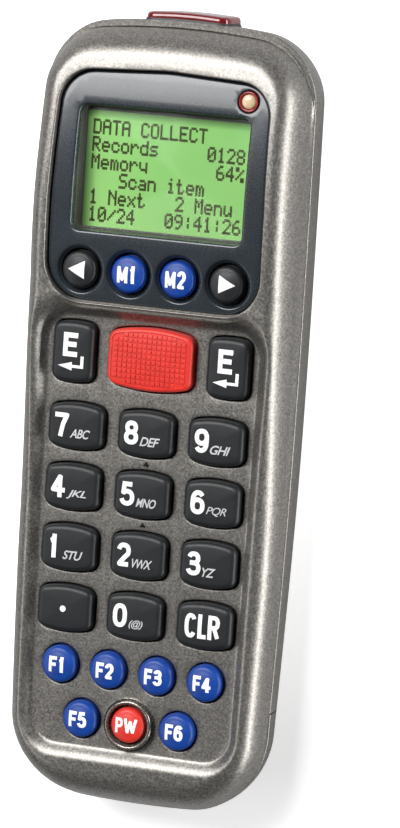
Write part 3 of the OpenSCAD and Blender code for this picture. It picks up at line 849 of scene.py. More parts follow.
# raised collar round the power key: (radius, height above the floor)
COLLAR = [(5.15, 0.0), (4.98, 0.03), (4.86, 0.12), (4.80, 0.26), (4.77, 0.75), (4.70, 1.02),
          (4.60, 1.18), (4.46, 1.27), (4.33, 1.30), (4.20, 1.27), (4.08, 1.18), (3.99, 1.02),
          (3.95, 0.8), (3.95, -1.7)]
# eased edge of a key opening: (growth beyond the key's gap, drop)
OPENING = [(0.34, 0.0), (0.2, 0.03), (0.09, 0.10), (0.02, 0.20), (0.0, 0.34), (0.0, 1.7)]


def make_front():
    geo = Geo()
    roll = [cut_recess(r) for r in roll_rings()]
    geo.strip(side_wall() + roll)
    # pocket for the bezel: a small round, then down
    pocket = []
    for grow, drop in ((0.55, 0.0), (0.42, 0.03), (0.32, 0.11), (0.26, 0.22), (0.24, 0.36),
                       (0.24, BEZEL_DROP + 1.2)):
        crest = cut_recess(at_height(bezel_loop(grow), lambda x, y: top_z(y)))
        pocket.append([(x, y, z - drop) for x, y, z in crest])
    geo.strip(pocket)
    # close loops of points on the recess's slope, an even grid beyond it
    extra = []
    for d in (0.25, 0.5, 0.75, 1.0, 1.3, 1.6, 1.9, 2.2, 2.5, 2.8, 3.1, 3.4, 3.8, 4.3):
        extra += grow_loop(RECESS, d)
    grid = staggered(-24.0, 24.5, 18.0, 76.0, 1.1, 1.0)
    extra += [p for p, dist in zip(grid, recess_dist(grid)) if dist > 4.9]

    def heights(points):
        return [z for x, y, z in cut_recess([(x, y, top_z(y)) for x, y in points])]
    geo.add(*sheet(roll[-1], [pocket[0], at_height(RECESS, FLOOR)], heights, margin=0.16,
                   extra=extra))
    # keypad floor with an eased opening round each key
    holes = []
    for name, key in KEYS.items():
        if key.nav or name == "key_power":
            continue
        opening = [at_height(key.outline(KEY_GAP + grow), FLOOR - drop) for grow, drop in OPENING]
        geo.strip(opening)
        holes.append(opening[0])
    collar = [at_height(circle(0, POWER_Y, r, 64), FLOOR + up) for r, up in COLLAR]
    geo.strip(collar, mat=1)
    holes.append(collar[0])
    geo.add(*sheet(RECESS, holes, per_point(lambda x, y: FLOOR), step=1.5, margin=0.4))
    piece("front_shell_skin", geo, [M_SHELL, M_RING], replaces="front_shell",
          angle=50, wall=1.1, up=1)


def make_tactile_marks():
    """Small triangles between the keys above and below the 5."""
    geo = Geo()
    corners = [(-0.62, -0.38), (0.62, -0.38), (0.0, 0.48)]
    for s in (-1, 1):
        cy = DIGIT_Y - PITCH_Y + s * PITCH_Y / 2
        outline = []
        for i in range(3):
            a, b = corners[i], corners[(i + 1) % 3]
            outline += [(a[0] + (b[0] - a[0]) * t, a[1] + (b[1] - a[1]) * t)
                        for t in np.linspace(0, 1, 7)[:-1]]
        geo.solid([[(x * scale, cy + y * scale, FLOOR + up) for x, y in outline]
                   for scale, up in ((1.0, -0.15), (1.0, 0.14), (0.9, 0.26), (0.7, 0.33),
                                     (0.35, 0.36), (0.02, 0.37))])
    piece("tactile_marks", geo, [M_PIP], angle=45)


# ------------------------------------------------------------------ bezel
# edges of the bezel and its openings: (growth or radius, drop below the surface)
BEZEL_EDGE = [(-0.55, 0.0), (-0.36, 0.035), (-0.2, 0.12), (-0.09, 0.25), (-0.02, 0.42),
              (0.0, 0.6), (0.0, 1.45)]
WINDOW_EDGE = [(0.55, 0.0), (0.38, 0.04), (0.22, 0.14), (0.1, 0.30), (0.03, 0.5), (0.0, 0.7),
               (0.0, 1.45)]
NAV_EDGE = [(4.78, 0.0), (4.68, 0.02), (4.58, 0.08), (4.46, 0.19), (4.34, 0.33), (4.22, 0.46),
            (4.10, 0.55), (4.02, 0.62), (3.97, 0.72), (3.95, 0.9), (3.95, 1.45)]
LAMP_EDGE = [(2.35, 0.0), (2.22, 0.03), (2.12, 0.12), (2.07, 0.26), (2.05, 0.45), (2.05, 1.45)]


def make_bezel():
    geo = Geo()
    openings = [(bezel_loop, BEZEL_EDGE),
                (window_loop(WINDOW_W, WINDOW_H, 1.6, 8, 24), WINDOW_EDGE)]
    openings += [(lambda r, x=key.x: circle(x, NAV_Y, r, 56), NAV_EDGE)
                 for key in KEYS.values() if key.nav]
    openings.append((lambda r: circle(LAMP_X, LAMP_Y, r, 36), LAMP_EDGE))
    loops = []
    for outline, profile in openings:
        rings = sunk(outline, profile, bezel_surface)
        geo.strip(rings)
        loops.append(rings[0])
    geo.add(*sheet(loops[0], loops[1:], per_point(bezel_surface), step=1.3, margin=0.35))
    piece("display_bezel_skin", geo, [M_BEZEL], replaces="display_bezel",
          angle=50, wall=0.45, up=1)


# ------------------------------------------------------------------ display
LCD_Z = 17.20
# 5 x 7 dot characters: two hex digits a row, from the top, the high bit at the left
FONT = {
    "A": "0E11111F111111", "C": "0E11101010110E", "D": "1E11111111111E", "E": "1F10101E10101F",
    "L": "1010101010101F", "M": "111B1515111111", "N": "11191513111111", "O": "0E11111111110E",
    "R": "1E11111E141211", "S": "0F10100E01011E", "T": "1F040404040404", "a": "00000E010F110F",
    "c": "00000E1110110E", "d": "01010F1111110F", "e": "00000E111F100E", "i": "04000C0404040E",
    "m": "00001A15151515", "n": "00001E11111111", "o": "00000E1111110E", "r": "00001619101010",
    "s": "00000F100E011E", "t": "08081C0808090E", "u": "0000111111130D", "x": "0000110A040A11",
    "y": "00001111110F01", "0": "0E11131519110E", "1": "040C040404040E", "2": "0E11010204081F",
    "4": "02060A121F0202", "6": "0608101E11110E", "8": "0E11110E11110E", "9": "0E11110F01020C",
    ":": "00040400040400", "/": "00010204081000", "%": "18190204081303", " ": "00000000000000",
}
LINES = ["DATA COLLECT", "Records     0128", "Memory       64%", "   Scan item",
         "1 Next   2 Menu", "10/24   09:41:26"]


def make_lcd():
    geo = Geo()
    rings = stack(window_loop(35.8, 25.2, 0.4, 4, 6),
                  [(-0.05, 15.22), (0, 15.3), (0, 17.1), (-0.06, 17.17), (-0.14, 17.18)])
    geo.strip(rings)
    geo.cap(rings[0], flip=True)
    geo.cap(rings[-1])
    piece("lcd_glass_cell", geo, [M_FRAME], replaces="lcd_panel")
    # the lit field
    x0, x1 = -16.5, 17.6
    y0, y1 = WINDOW_Y - WINDOW_H / 2 - 0.5, WINDOW_Y + WINDOW_H / 2 - 1.1
    geo = Geo()
    geo.solid(stack(
        lambda d: rounded_rect((x0 + x1) / 2, (y0 + y1) / 2, x1 - x0, y1 - y0, 0.25, 3, 20, d),
        [(0, LCD_Z - 0.03), (0, LCD_Z - 0.004), (-0.03, LCD_Z)]))
    piece("lcd_field", geo, [M_LCD])


def make_characters():
    """One raised cell for each lit dot, overlapping its neighbours a little."""
    geo = Geo()
    left, right = -15.3, 15.6
    advance = (right - left) / 16.0
    dot_w = advance / 6.0
    line_h = 3.27
    dot_h = line_h / 8.3
    top = WINDOW_Y + WINDOW_H / 2 - 2.75
    lap, z = 0.055, LCD_Z + 0.012
    for line_no, line in enumerate(LINES):
        for place, character in enumerate(line):
            for row, bits in enumerate(bytes.fromhex(FONT[character])):
                for col in range(5):
                    if bits >> (4 - col) & 1:
                        x = left + place * advance + col * dot_w
                        y = top - line_no * line_h - row * dot_h
                        x0, x1 = x - lap, x + dot_w + lap
                        y0, y1 = y - dot_h - lap, y + lap
                        geo.add([(x0, y0, z), (x1, y0, z), (x1, y1, z), (x0, y1, z)],
                                [(0, 1, 2, 3)])
    piece("lcd_characters", geo, [M_LCDINK], weld=False, angle=30)


def make_display_frame():
    """Surround between bezel and glass, with soft inner edges, and the clear cover."""
    geo = Geo()
    geo.strip(stack(window_loop(WINDOW_W, WINDOW_H, 1.2, 6, 20),
                    [(0.75, 19.4), (0.1, 19.5), (0.0, 19.35), (-0.02, 18.6), (-0.10, 17.55),
                     (-0.25, 17.32), (-0.5, 17.24)]))
    piece("display_surround", geo, [M_FRAME], angle=50, wall=0.25)
    geo = Geo()
    geo.solid(stack(window_loop(WINDOW_W - 0.15, WINDOW_H - 0.15, 1.1, 5, 8),
                    [(-0.1, 17.66), (0, 17.72), (0, 18.0), (-0.12, 18.1)]))
    piece("display_cover", geo, [M_CLEAR], replaces="display_lens")


def make_lamp():
    top = bezel_z(LAMP_Y)
    geo = Geo()
    collar = [(1.95, -1.1), (1.95, -0.12), (1.90, 0.02), (1.78, 0.08), (1.62, 0.05),
              (1.48, -0.06), (1.42, -0.25), (1.42, -1.1)]
    lathe(geo, LAMP_X, LAMP_Y, [(r, top + up) for r, up in collar], 48)
    piece("status_lamp_collar", geo, [M_LEDRING], angle=50)
    geo = Geo()
    dome_r = 1.38
    profile = [(1.2, 13.8), (1.2, top - 1.0), (dome_r, top - 0.9), (dome_r, top - 0.35)]
    for i in range(9):
        a = math.pi / 2 * i / 9
        profile.append((dome_r * math.cos(a), top - 0.35 + 0.62 * math.sin(a)))
    profile.append((0.02, top + 0.27))
    lathe(geo, LAMP_X, LAMP_Y, profile, 40, caps=True)
    piece("status_lamp_dome", geo, [M_LEDDOME], replaces="status_led")


make_front()
make_tactile_marks()
make_bezel()
make_lcd()
make_characters()
make_display_frame()
make_lamp()


# ------------------------------------------------------------------ keys
def scan_squares(geo, key, rim):
    """Fine raised squares standing on a slightly lower face."""
    pitch, half, low = 0.97, 0.365, 0.17

    def face(x, y):
        return key.surface(x, y) - low
    lowered = at_height(key.outline(-key.edge - 0.12), face)
    geo.strip([rim, lowered])
    geo.add(*sheet(lowered, [], per_point(face), step=1.3, margin=0.5))
    field = key.outline(-key.edge + 0.02)
    corners = ((-1, -1), (1, -1), (1, 1), (-1, 1))
    for i in range(-12, 13):
        for j in range(-9, 10):
            cx, cy = key.x + i * pitch, key.y + (j + 0.5) * pitch
            if not inside(field, [(cx + a * half, cy + b * half) for a, b in corners]).all():
                continue
            rings = []
            for e, up in ((half, -low - 0.03), (half, -0.05), (half - 0.04, -0.012),
                          (half - 0.10, 0.0)):
                rings.append([(cx + a * e, cy + b * e, key.surface(cx + a * e, cy + b * e) + up)
                              for a, b in corners])
            geo.strip(rings)
            geo.cap(rings[-1])


def make_key(key):
    geo = Geo()
    floor = bezel_z(key.y) if key.nav else FLOOR
    base = floor - 1.6
    shoulder = key.top - key.crown
    rings = stack(key.outline,
                  [(-0.06, base), (0.0, base + 0.1), (0.0, floor - 0.2), (-0.01, floor + 0.35)])
    steps = 9
    for i in range(steps + 1):
        a = math.pi / 2 * i / steps
        inset = -0.03 - (key.edge - 0.03) * (1 - math.cos(a))
        rings.append(at_height(key.outline(inset), shoulder - key.edge_drop * (1 - math.sin(a))))
    geo.strip(rings)
    geo.cap(rings[0], flip=True)
    rim = rings[-1]
    if key.scan:
        scan_squares(geo, key, rim)
    else:
        geo.chain([rim] + [[(key.x + (p[0] - key.x) * s, key.y + (p[1] - key.y) * s,
                             key.top - key.crown * s * s) for p in rim]
                           for s in (0.86, 0.7, 0.52, 0.34, 0.17, 0.04)])
    piece(key.name + "_cap", geo, [M_RUBBER[key.color]], body=key.name,
          replaces=key.name, angle=30 if key.scan else 50)


for key in KEYS.values():
    make_key(key)


# ------------------------------------------------------------------ legends
# A part of a legend is (plan points from the key's middle, faces, material slot).
WHITE, GREY = 0, 1


def font_text(text, cx, cy, w, h, shear, bold, spacing):
    """Grey text in the built-in font, fitted to a box w by h."""
    curve = bpy.data.curves.new("t", "FONT")
    curve.body = text
    curve.shear = shear
    curve.offset = bold
    curve.space_character = spacing
    curve.resolution_u = 6
    ob = bpy.data.objects.new("t", curve)
    bpy.context.scene.collection.objects.link(ob)
    bpy.context.view_layer.update()
    depsgraph = bpy.context.evaluated_depsgraph_get()
    mesh = bpy.data.meshes.new_from_object(ob.evaluated_get(depsgraph))
    bm = bmesh.new()
    bm.from_mesh(mesh)
    bmesh.ops.triangulate(bm, faces=bm.faces)
    points = np.array([(v.co[0], v.co[1]) for v in bm.verts])
    faces = [[v.index for v in face.verts] for face in bm.faces]
    bm.free()
    bpy.data.objects.remove(ob)
    bpy.data.meshes.remove(mesh)
    bpy.data.curves.remove(curve)
    low, high = points.min(0), points.max(0)
    scale = np.array([w, h]) / (high - low)
    return (points - (low + high) / 2) * scale + (cx, cy), faces, GREY


def split_fine(points, faces, longest):
    """Halves the longest edges so that a legend can follow the key's crown."""
    bm = bmesh.new()
    verts = [bm.verts.new((p[0], p[1], 0)) for p in points]
    for face in faces:
        try:
            bm.faces.new([verts[i] for i in face])
        except ValueError:
            pass  # guards against a face that is repeated or uses a point twice
    bmesh.ops.remove_doubles(bm, verts=bm.verts, dist=1e-4)
    for _ in range(6):
        long_edges = [e for e in bm.edges if e.calc_length() > longest]
        if not long_edges:
            break
        bmesh.ops.subdivide_edges(bm, edges=long_edges, cuts=1, use_grid_fill=False)
        bmesh.ops.triangulate(bm, faces=[f for f in bm.faces if len(f.verts) > 3])
    bm.verts.index_update()
    points = np.array([(v.co[0], v.co[1]) for v in bm.verts])
    faces = [[v.index for v in face.verts] for face in bm.faces]
    bm.free()
    return points, faces


def legend(label, *parts):
    key = KEYS["key_" + label]
    geo = Geo()
    for points, faces, slot in parts:
        points, faces = split_fine(points, faces, 0.55 if key.round else 0.9)
        geo.add([(key.x + x, key.y + y, key.surface(key.x + x, key.y + y) + 0.022)
                 for x, y in points], faces, slot)
    piece("legend_" + label, geo, [M_WHITE, M_GREY], body=key.name,
          weld=False, angle=60)


def filled(outline):
    n = len(outline)
    verts, _, faces, *_ = delaunay_2d_cdt([Vector(p) for p in outline],
                                          [(i, (i + 1) % n) for i in range(n)], [], 1, 1e-6)
    return np.array([(v[0], v[1]) for v in verts]), [list(f) for f in faces], WHITE


def arc(cx, cy, rx, ry, start, end, n, power=2.25):
    """Run of points on a slightly squared ellipse, between angles in degrees."""
    out = []
    for t in np.radians(np.linspace(start, end, n)):
        c, s = math.cos(t), math.sin(t)
        out.append((cx + rx * math.copysign(abs(c) ** (2 / power), c),
                    cy + ry * math.copysign(abs(s) ** (2 / power), s)))
    return out


# centre lines of the characters in a unit box; a run that ends where it starts is closed
GLYPHS = {
    "0": [arc(0.5, 0.5, 0.5, 0.5, 0, 360, 33, 2.5)],
    "1": [[(0.66, 0.0), (0.66, 1.0)], [(0.02, 0.76), (0.40, 0.80), (0.60, 0.97)]],
    "2": [arc(0.5, 0.70, 0.48, 0.30, 172, -25, 16) + [(0.55, 0.33), (0.06, 0.0), (1.0, 0.0)]],
    "3": [arc(0.48, 0.765, 0.44, 0.235, 168, -88, 16),
          arc(0.48, 0.265, 0.52, 0.265, 88, -168, 16), [(0.32, 0.53), (0.52, 0.53)]],
    "4": [[(0.70, 0.0), (0.70, 1.0), (0.0, 0.27), (1.0, 0.27)]],
    "5": [[(0.93, 1.0), (0.16, 1.0), (0.07, 0.50)] + arc(0.46, 0.31, 0.54, 0.32, 118, -166, 16)],
    "6": [arc(0.5, 0.315, 0.5, 0.315, 0, 360, 25),
          arc(0.52, 0.56, 0.52, 0.44, 38, 180, 12) + [(0.0, 0.32)]],
    "7": [[(0.0, 1.0), (0.98, 1.0), (0.62, 0.52), (0.44, 0.0)]],
    "8": [arc(0.5, 0.765, 0.43, 0.235, 0, 360, 25), arc(0.5, 0.265, 0.5, 0.265, 0, 360, 25)],
    "9": [arc(0.5, 0.685, 0.5, 0.315, 0, 360, 25),
          arc(0.48, 0.44, 0.52, 0.44, -142, 0, 12) + [(1.0, 0.68)]],
    "C": [arc(0.52, 0.5, 0.52, 0.5, 36, 324, 24, 2.5)],
    "L": [[(0.0, 1.0), (0.0, 0.0), (1.0, 0.0)]],
    "R": [[(0.0, 0.0), (0.0, 1.0), (0.55, 1.0)] + arc(0.52, 0.75, 0.44, 0.25, 80, -80, 10)
          + [(0.45, 0.5), (0.0, 0.5)], [(0.52, 0.5), (0.98, 0.0)]],
    "E": [[(1.0, 1.0), (0.0, 1.0), (0.0, 0.0), (1.0, 0.0)], [(0.0, 0.52), (0.90, 0.52)]],
    "F": [[(1.0, 1.0), (0.0, 1.0), (0.0, 0.0)], [(0.0, 0.50), (0.86, 0.50)]],
    "P": [[(0.0, 0.0), (0.0, 1.0), (0.55, 1.0)] + arc(0.52, 0.73, 0.48, 0.27, 80, -80, 10)
          + [(0.45, 0.46), (0.0, 0.46)]],
    "W": [[(0.0, 1.0), (0.24, 0.0), (0.5, 0.92), (0.76, 0.0), (1.0, 1.0)]],
    "M": [[(0.0, 0.0), (0.0, 1.0), (0.5, 0.10), (1.0, 1.0), (1.0, 0.0)]],
}


def unit(v):
    return v / np.hypot(*v)


def strokes(character, x0, y0, w, h, pen):
    """Polygons of one character whose box starts at (x0, y0)."""
    polygons = []
    for run in GLYPHS[character]:
        p = np.array([(x0 + pen / 2 + x * (w - pen), y0 + pen / 2 + y * (h - pen))
                      for x, y in run])
        closed = len(p) > 4 and np.hypot(*(p[0] - p[-1])) < 1e-6
        if not closed and (character in "1ELFMWPR47" or len(run) < 4):
            # upright and level ends reach half a pen width past the centre line
            for i, j in ((0, 1), (-1, -2)):
                d = unit(p[i] - p[j])
                if abs(d[0]) > 0.97 or abs(d[1]) > 0.97:
                    p[i] = p[i] + d * (pen / 2)
        for a, b in zip(p[:-1], p[1:]):
            d = unit(b - a)
            side = np.array((-d[1], d[0])) * pen / 2
            polygons.append([tuple(a - side), tuple(b - side), tuple(b + side), tuple(a + side)])
        # fill the outer side of each joint
        for i in range(len(p) - 1) if closed else range(1, len(p) - 1):
            a, b, c = p[i - 1] if i else p[-2], p[i], p[i + 1]
            d1, d2 = unit(b - a), unit(c - b)
            turn = d1[0] * d2[1] - d1[1] * d2[0]
            if abs(turn) < 1e-4:
                continue
            sign = -1.0 if turn > 0 else 1.0
            n1 = np.array((-d1[1], d1[0])) * sign * pen / 2
            n2 = np.array((-d2[1], d2[0])) * sign * pen / 2
            mid = n1 + n2
            reach = pen * pen / 2 / max(float(mid @ mid), 1e-9)
            quad = [b, b + n1, b + mid * min(reach, 1.02), b + n2]
            if sign > 0:
                quad = quad[::-1]
            polygons.append([tuple(q) for q in quad])
    return polygons


def union(polygons):
    points, faces = [], []
    for polygon in polygons:
        following = polygon[1:] + polygon[:1]
        area = sum(p[0] * q[1] - q[0] * p[1] for p, q in zip(polygon, following))
        if abs(area) < 1e-5:
            continue
        if area < 0:
            polygon = polygon[::-1]
        faces.append(list(range(len(points), len(points) + len(polygon))))
        points += polygon
    verts, _, tris, _, _, sources = delaunay_2d_cdt([Vector(p) for p in points], [], faces, 1,
                                                    1e-5)
    return (np.array([(v[0], v[1]) for v in verts]),
            [list(t) for t, source in zip(tris, sources) if len(t) == 3 and len(source)], WHITE)


def word(text, cx, cy, height, widths, pen, gap=0):
    """Stroked characters, each with its own width, centred on (cx, cy)."""
    x = cx - (sum(widths) + gap * (len(widths) - 1)) / 2
    polygons = []
    for character, w in zip(text, widths):
        polygons += strokes(character, x, cy - height / 2, w, height, pen)
        x += w + gap
    return union(polygons)


def digit(text, shift=0.0, width=2.9):
    return word(text, -2.6 + shift, 0.15, 4.5, [width], 0.88)


LETTERS = {"7": "ABC", "8": "DEF", "9": "GHI", "4": "JKL", "5": "MNO", "6": "PQR",
           "1": "STU", "2": "VWX", "3": "YZ"}
ARROW = [(-2.7, -2.75), (0.15, -1.95), (0.15, -2.48), (1.85, -2.48), (1.85, -0.72),
         (2.45, -0.72), (2.45, -3.02), (0.15, -3.02), (0.15, -3.55)]


def make_legends():
    full_w = 4.05  # width of three small letters
    for number, letters in LETTERS.items():
        w = 2.7 if len(letters) == 2 else full_w
        legend(number,
               digit(number, -0.25, 2.0) if number == "1" else digit(number),
               font_text(letters, 0.95 - (full_w - w) / 2 + 0.25, -1.3, w, 1.72, shear=0.35,
                         bold=0.0 if "Q" in letters else 0.016, spacing=0.92))
    legend("0", digit("0"),
           font_text("(@)", 0.70, -1.3, 2.8, 1.75, shear=0.3, bold=0.012, spacing=0.9))
    legend("dot", filled([(0.60 * math.cos(t) - 0.1, 0.60 * math.sin(t) - 0.05)
                          for t in np.linspace(0, 2 * math.pi, 33)[:-1]]))
    legend("clear", word("CLR", -0.1, 0.0, 4.6, [2.35, 1.7, 2.4], 0.80, 0.32))
    for side in ("left", "right"):
        legend("enter_" + side, word("E", -0.35, 1.35, 4.5, [2.9], 0.95),
               filled([(x, y + 0.05) for x, y in ARROW]))
    for i in range(1, 7):
        legend("f%d" % i,
               word("F%d" % i, -0.1, 0.0, 3.0, [1.65, 1.3 if i == 1 else 1.75], 0.64, 0.24))
    legend("power", word("PW", -0.05, 0.0, 2.9, [1.65, 2.5], 0.54, 0.2))
    for i in (1, 2):
        legend("m%d" % i,
               word("M%d" % i, -0.1, 0.0, 3.3, [2.2, 1.25 if i == 1 else 1.7], 0.62, 0.24))
    legend("left", filled([(-2.0, 0.0), (1.3, 1.7), (1.3, -1.7)]))
    legend("right", filled([(2.0, 0.0), (-1.3, 1.7), (-1.3, -1.7)]))


make_legends()


# ------------------------------------------------------------------ scan window
def make_scan_window():
    mid_z, arch_r = 8.6, 90

    def outline(grow):
        return rounded_rect(0, mid_z, 16.8, 8.4, 2.0, 6, 10, grow)

    def face_y(x, z):
        return 75.7 - arch_r + math.sqrt(arch_r * arch_r - x * x) - 0.012 * (z - mid_z) ** 2
    geo = Geo()
    rings = []
    for grow, back in ((0, 6.3), (0, 1.2), (0, 0.75), (-0.06, 0.45), (-0.18, 0.22),
                       (-0.36, 0.08), (-0.6, 0.0)):
        rings.append([(x, face_y(x, z) - back, z) for x, z in outline(grow)])
    geo.strip(rings)
    face = [rings[-1]]
    for k in (0.8, 0.55, 0.3, 0.08):
        shrunk = [(x * k, mid_z + (z - mid_z) * k) for x, y, z in rings[-1]]
        face.append([(x, face_y(x, z), z) for x, z in shrunk])
    geo.chain(face)
    geo.cap(rings[0], flip=True)
    piece("scan_window_lens", geo, [M_SCAN], replaces="scan_window", angle=45)
    # dark gasket lining the opening in the shells
    geo = Geo()
    geo.strip([[(x, y - TOP_CURVE * x * x - max(0.0, 8.0 - z) ** 2 * 0.085, z)
                for x, z in outline(grow)]
               for grow, y in ((0.02, 70.5), (0.02, 74.25), (0.05, 74.36), (0.12, 74.40),
                               (0.19, 74.34), (0.2, 70.5))])
    piece("scan_window_gasket", geo, [M_DARK], angle=50)


make_scan_window()

# ------------------------------------------------------------------ rear shell and battery door
ROLL_X, ROLL_Z = 8.1, 10.6  # width and height of the rolled back edge


def tucked(inset, z, part="all"):
    return [(x * tuck(y, z), y, z) for x, y in ring(inset, part)]


def rear_ring(angle, part="all", inset=0.0):
    """Ring of the rolled back: angle 0 is on the flat, 90 degrees on the side."""
    roll_inset = ROLL_X * (1 - math.sin(angle))
    return tucked(roll_inset + inset, ROLL_Z * (1 - math.cos(angle)), part)


ROLL_ANGLES = np.radians(np.linspace(0, 84, 25))
ROLL_LEVELS = [rear_ring(a) for a in ROLL_ANGLES]


def roll_height(points):
    """Height of the rolled back at each plan point, between the nearest two levels."""
    q = np.asarray(points, float)
    out = np.zeros(len(q))
    within = [inside(level, q) for level in ROLL_LEVELS]
    for j in range(1, len(ROLL_LEVELS)):
        band = np.nonzero(within[j] & ~within[j - 1])[0]
        if not len(band):
            continue
        d0, d1 = (loop_dist([ROLL_LEVELS[k]], q[band]) for k in (j - 1, j))
        t = d0 / np.maximum(d0 + d1, 1e-9)
        a = ROLL_ANGLES[j - 1] + (ROLL_ANGLES[j] - ROLL_ANGLES[j - 1]) * t
        out[band] = ROLL_Z * (1 - np.cos(a))
    out[~within[-1]] = ROLL_Z * (1 - math.cos(ROLL_ANGLES[-1]))
    return out


def on_roll(loop, up=0.0):
    return [(p[0], p[1], float(z + up)) for p, z in zip(loop, roll_height(loop))]


def rear_points(part):
    """Inner points for the back: along the roll, then a grid on the flat."""
    points = []
    for a in np.radians([44, 38, 32, 26, 20, 14, 7, 0]):
        points += [p[:2] for p in rear_ring(a, part)][::2]
    flat = np.array(rear_ring(0, "all", 0.9))
    (x0, y0), (x1, y1) = flat[:, :2].min(0), flat[:, :2].max(0)
    grid = np.array(staggered(x0, x1, y0, y1, 1.6, 1.39))
    return points + [tuple(p) for p in grid[inside(flat, grid)]]


def rear_sides(part, top):
    """Rings from the roll up the side, over a small round and in at the top."""
    rings = [rear_ring(a, part) for a in np.radians([50, 57, 64, 71, 78, 84, 90])]
    for inset, z in ((0.0, 11.2), (0.0, 11.8), (0.0, top - 0.40), (0.03, top - 0.22),
                     (0.12, top - 0.10), (0.28, top - 0.03), (0.46, top), (1.5, top)):
        rings.append(tucked(inset, z, part))
    return rings


def tongue_cut(start_x, side, y, half_width, end_y, corner, cross_steps):
    """Cut from the body's side (-1 left, 1 right) round the tongue to the other side."""
    x = half_width - corner
    half = [(start_x + (side * half_width - start_x) * i / 4, y) for i in range(1, 5)]
    half += [(side * half_width, y + (end_y - corner - y) * i / 15) for i in range(1, 16)]
    for i in range(1, 6):
        t = math.pi / 2 * i / 5
        half.append((side * (x + corner * math.cos(t)), end_y - corner + corner * math.sin(t)))
    half += [(side * x * (1 - i / cross_steps), end_y) for i in range(1, cross_steps)]
    return on_roll(half + [(0.0, end_y)] + [(-p[0], p[1]) for p in reversed(half)])


def make_rear():
    geo = Geo()
    rings = rear_sides("upper", SEAM - 0.15)
    geo.strip(rings, closed=False)
    holes = []

    def hole(outline, edge, floor_z, below=()):
        """A hole with an eased edge; edge is (growth, height above the back)."""
        loops = [on_roll(outline(grow), up) for grow, up in edge]
        loops.append(at_height(loops[-1], floor_z))
        loops += below
        geo.strip(loops)
        holes.append(loops[0])
    for x, y in CASE_SCREWS:
        shaft = circle(x, y, 1.0, 36)
        hole(lambda d: circle(x, y, 2.1 + d, 36),
             ((0.30, 0.0), (0.15, 0.03), (0.05, 0.12), (0.0, 0.28)), 7.0,
             [at_height(shaft, 7.02), at_height(shaft, 9.0)])
    edge = ((0.28, 0.0), (0.14, 0.03), (0.04, 0.12), (0.0, 0.26))
    for x in PAD_XS:
        hole(lambda d: circle(x, PAD_Y, 1.65 + d, 32), edge, 1.8)
    hole(lambda d: rounded_rect(0, DATA_Y, 12.4, 5.4, 0.8, 5, 8, d), edge, 1.8)
    run = rings[0]
    cut = tongue_cut(run[-1][0], -1, DOOR_Y, TONGUE_W / 2 + 0.2, TONGUE_Y + 0.2, 0.8, 6)
    geo.add(*sheet(run + cut, holes, roll_height, extra=rear_points("upper"), margin=0.45))
    piece("rear_shell_skin", geo, [M_SHELL], replaces="rear_shell", angle=45,
          wall=1.5, up=-1)


def make_door():
    geo = Geo()
    edge_y = DOOR_Y - 0.25
    half_tongue = TONGUE_W / 2
    # the two ends of the run are pulled back to the gap at the cut
    rings = [[(x, min(y, edge_y), z) for x, y, z in r] for r in rear_sides("lower", SEAM - 0.50)]
    geo.strip(rings, closed=False)
    run = rings[0]
    cut = tongue_cut(run[-1][0], 1, edge_y, half_tongue, TONGUE_Y, 1.0, 7)
    grooves = []
    for i in range(5):
        y = -46.55 + i * 2.2
        groove = stack(lambda d: rounded_rect(0, y, 12.0, 0.9, 0.40, 5, 12, d),
                       [(0.12, 0.0), (0.04, 0.03), (0.0, 0.12), (-0.05, 0.30), (-0.16, 0.38),
                        (-0.34, 0.40)])
        geo.strip(groove)
        geo.cap(groove[-1])
        grooves.append(groove[0])
    extra = [p for p in rear_points("lower") if p[1] < edge_y - 0.5
             or (abs(p[0]) < half_tongue - 0.5 and p[1] < TONGUE_Y - 0.5)]
    geo.add(*sheet(run + cut, grooves, roll_height, extra=extra, margin=0.4))
    piece("battery_door_skin", geo, [M_DOOR], body="battery_door",
          replaces="battery_door", angle=45, wall=1.2, up=-1)


def make_door_rails():
    """A rail and an outward lip along each side of the tongue."""
    geo = Geo()
    for s in (-1, 1):
        a, b = sorted((s * 12.3, s * 13.0))
        geo.box(a, DOOR_Y - 4, 1.0, b, TONGUE_Y - 1.0, 2.6)
        a, b = sorted((s * 12.3, s * 14.4))
        geo.box(a, DOOR_Y + 3, 1.95, b, TONGUE_Y - 2.0, 2.6)
    piece("battery_door_rails", geo, [M_INNER], body="battery_door", angle=35,
          bevel=0.12, weld=False)


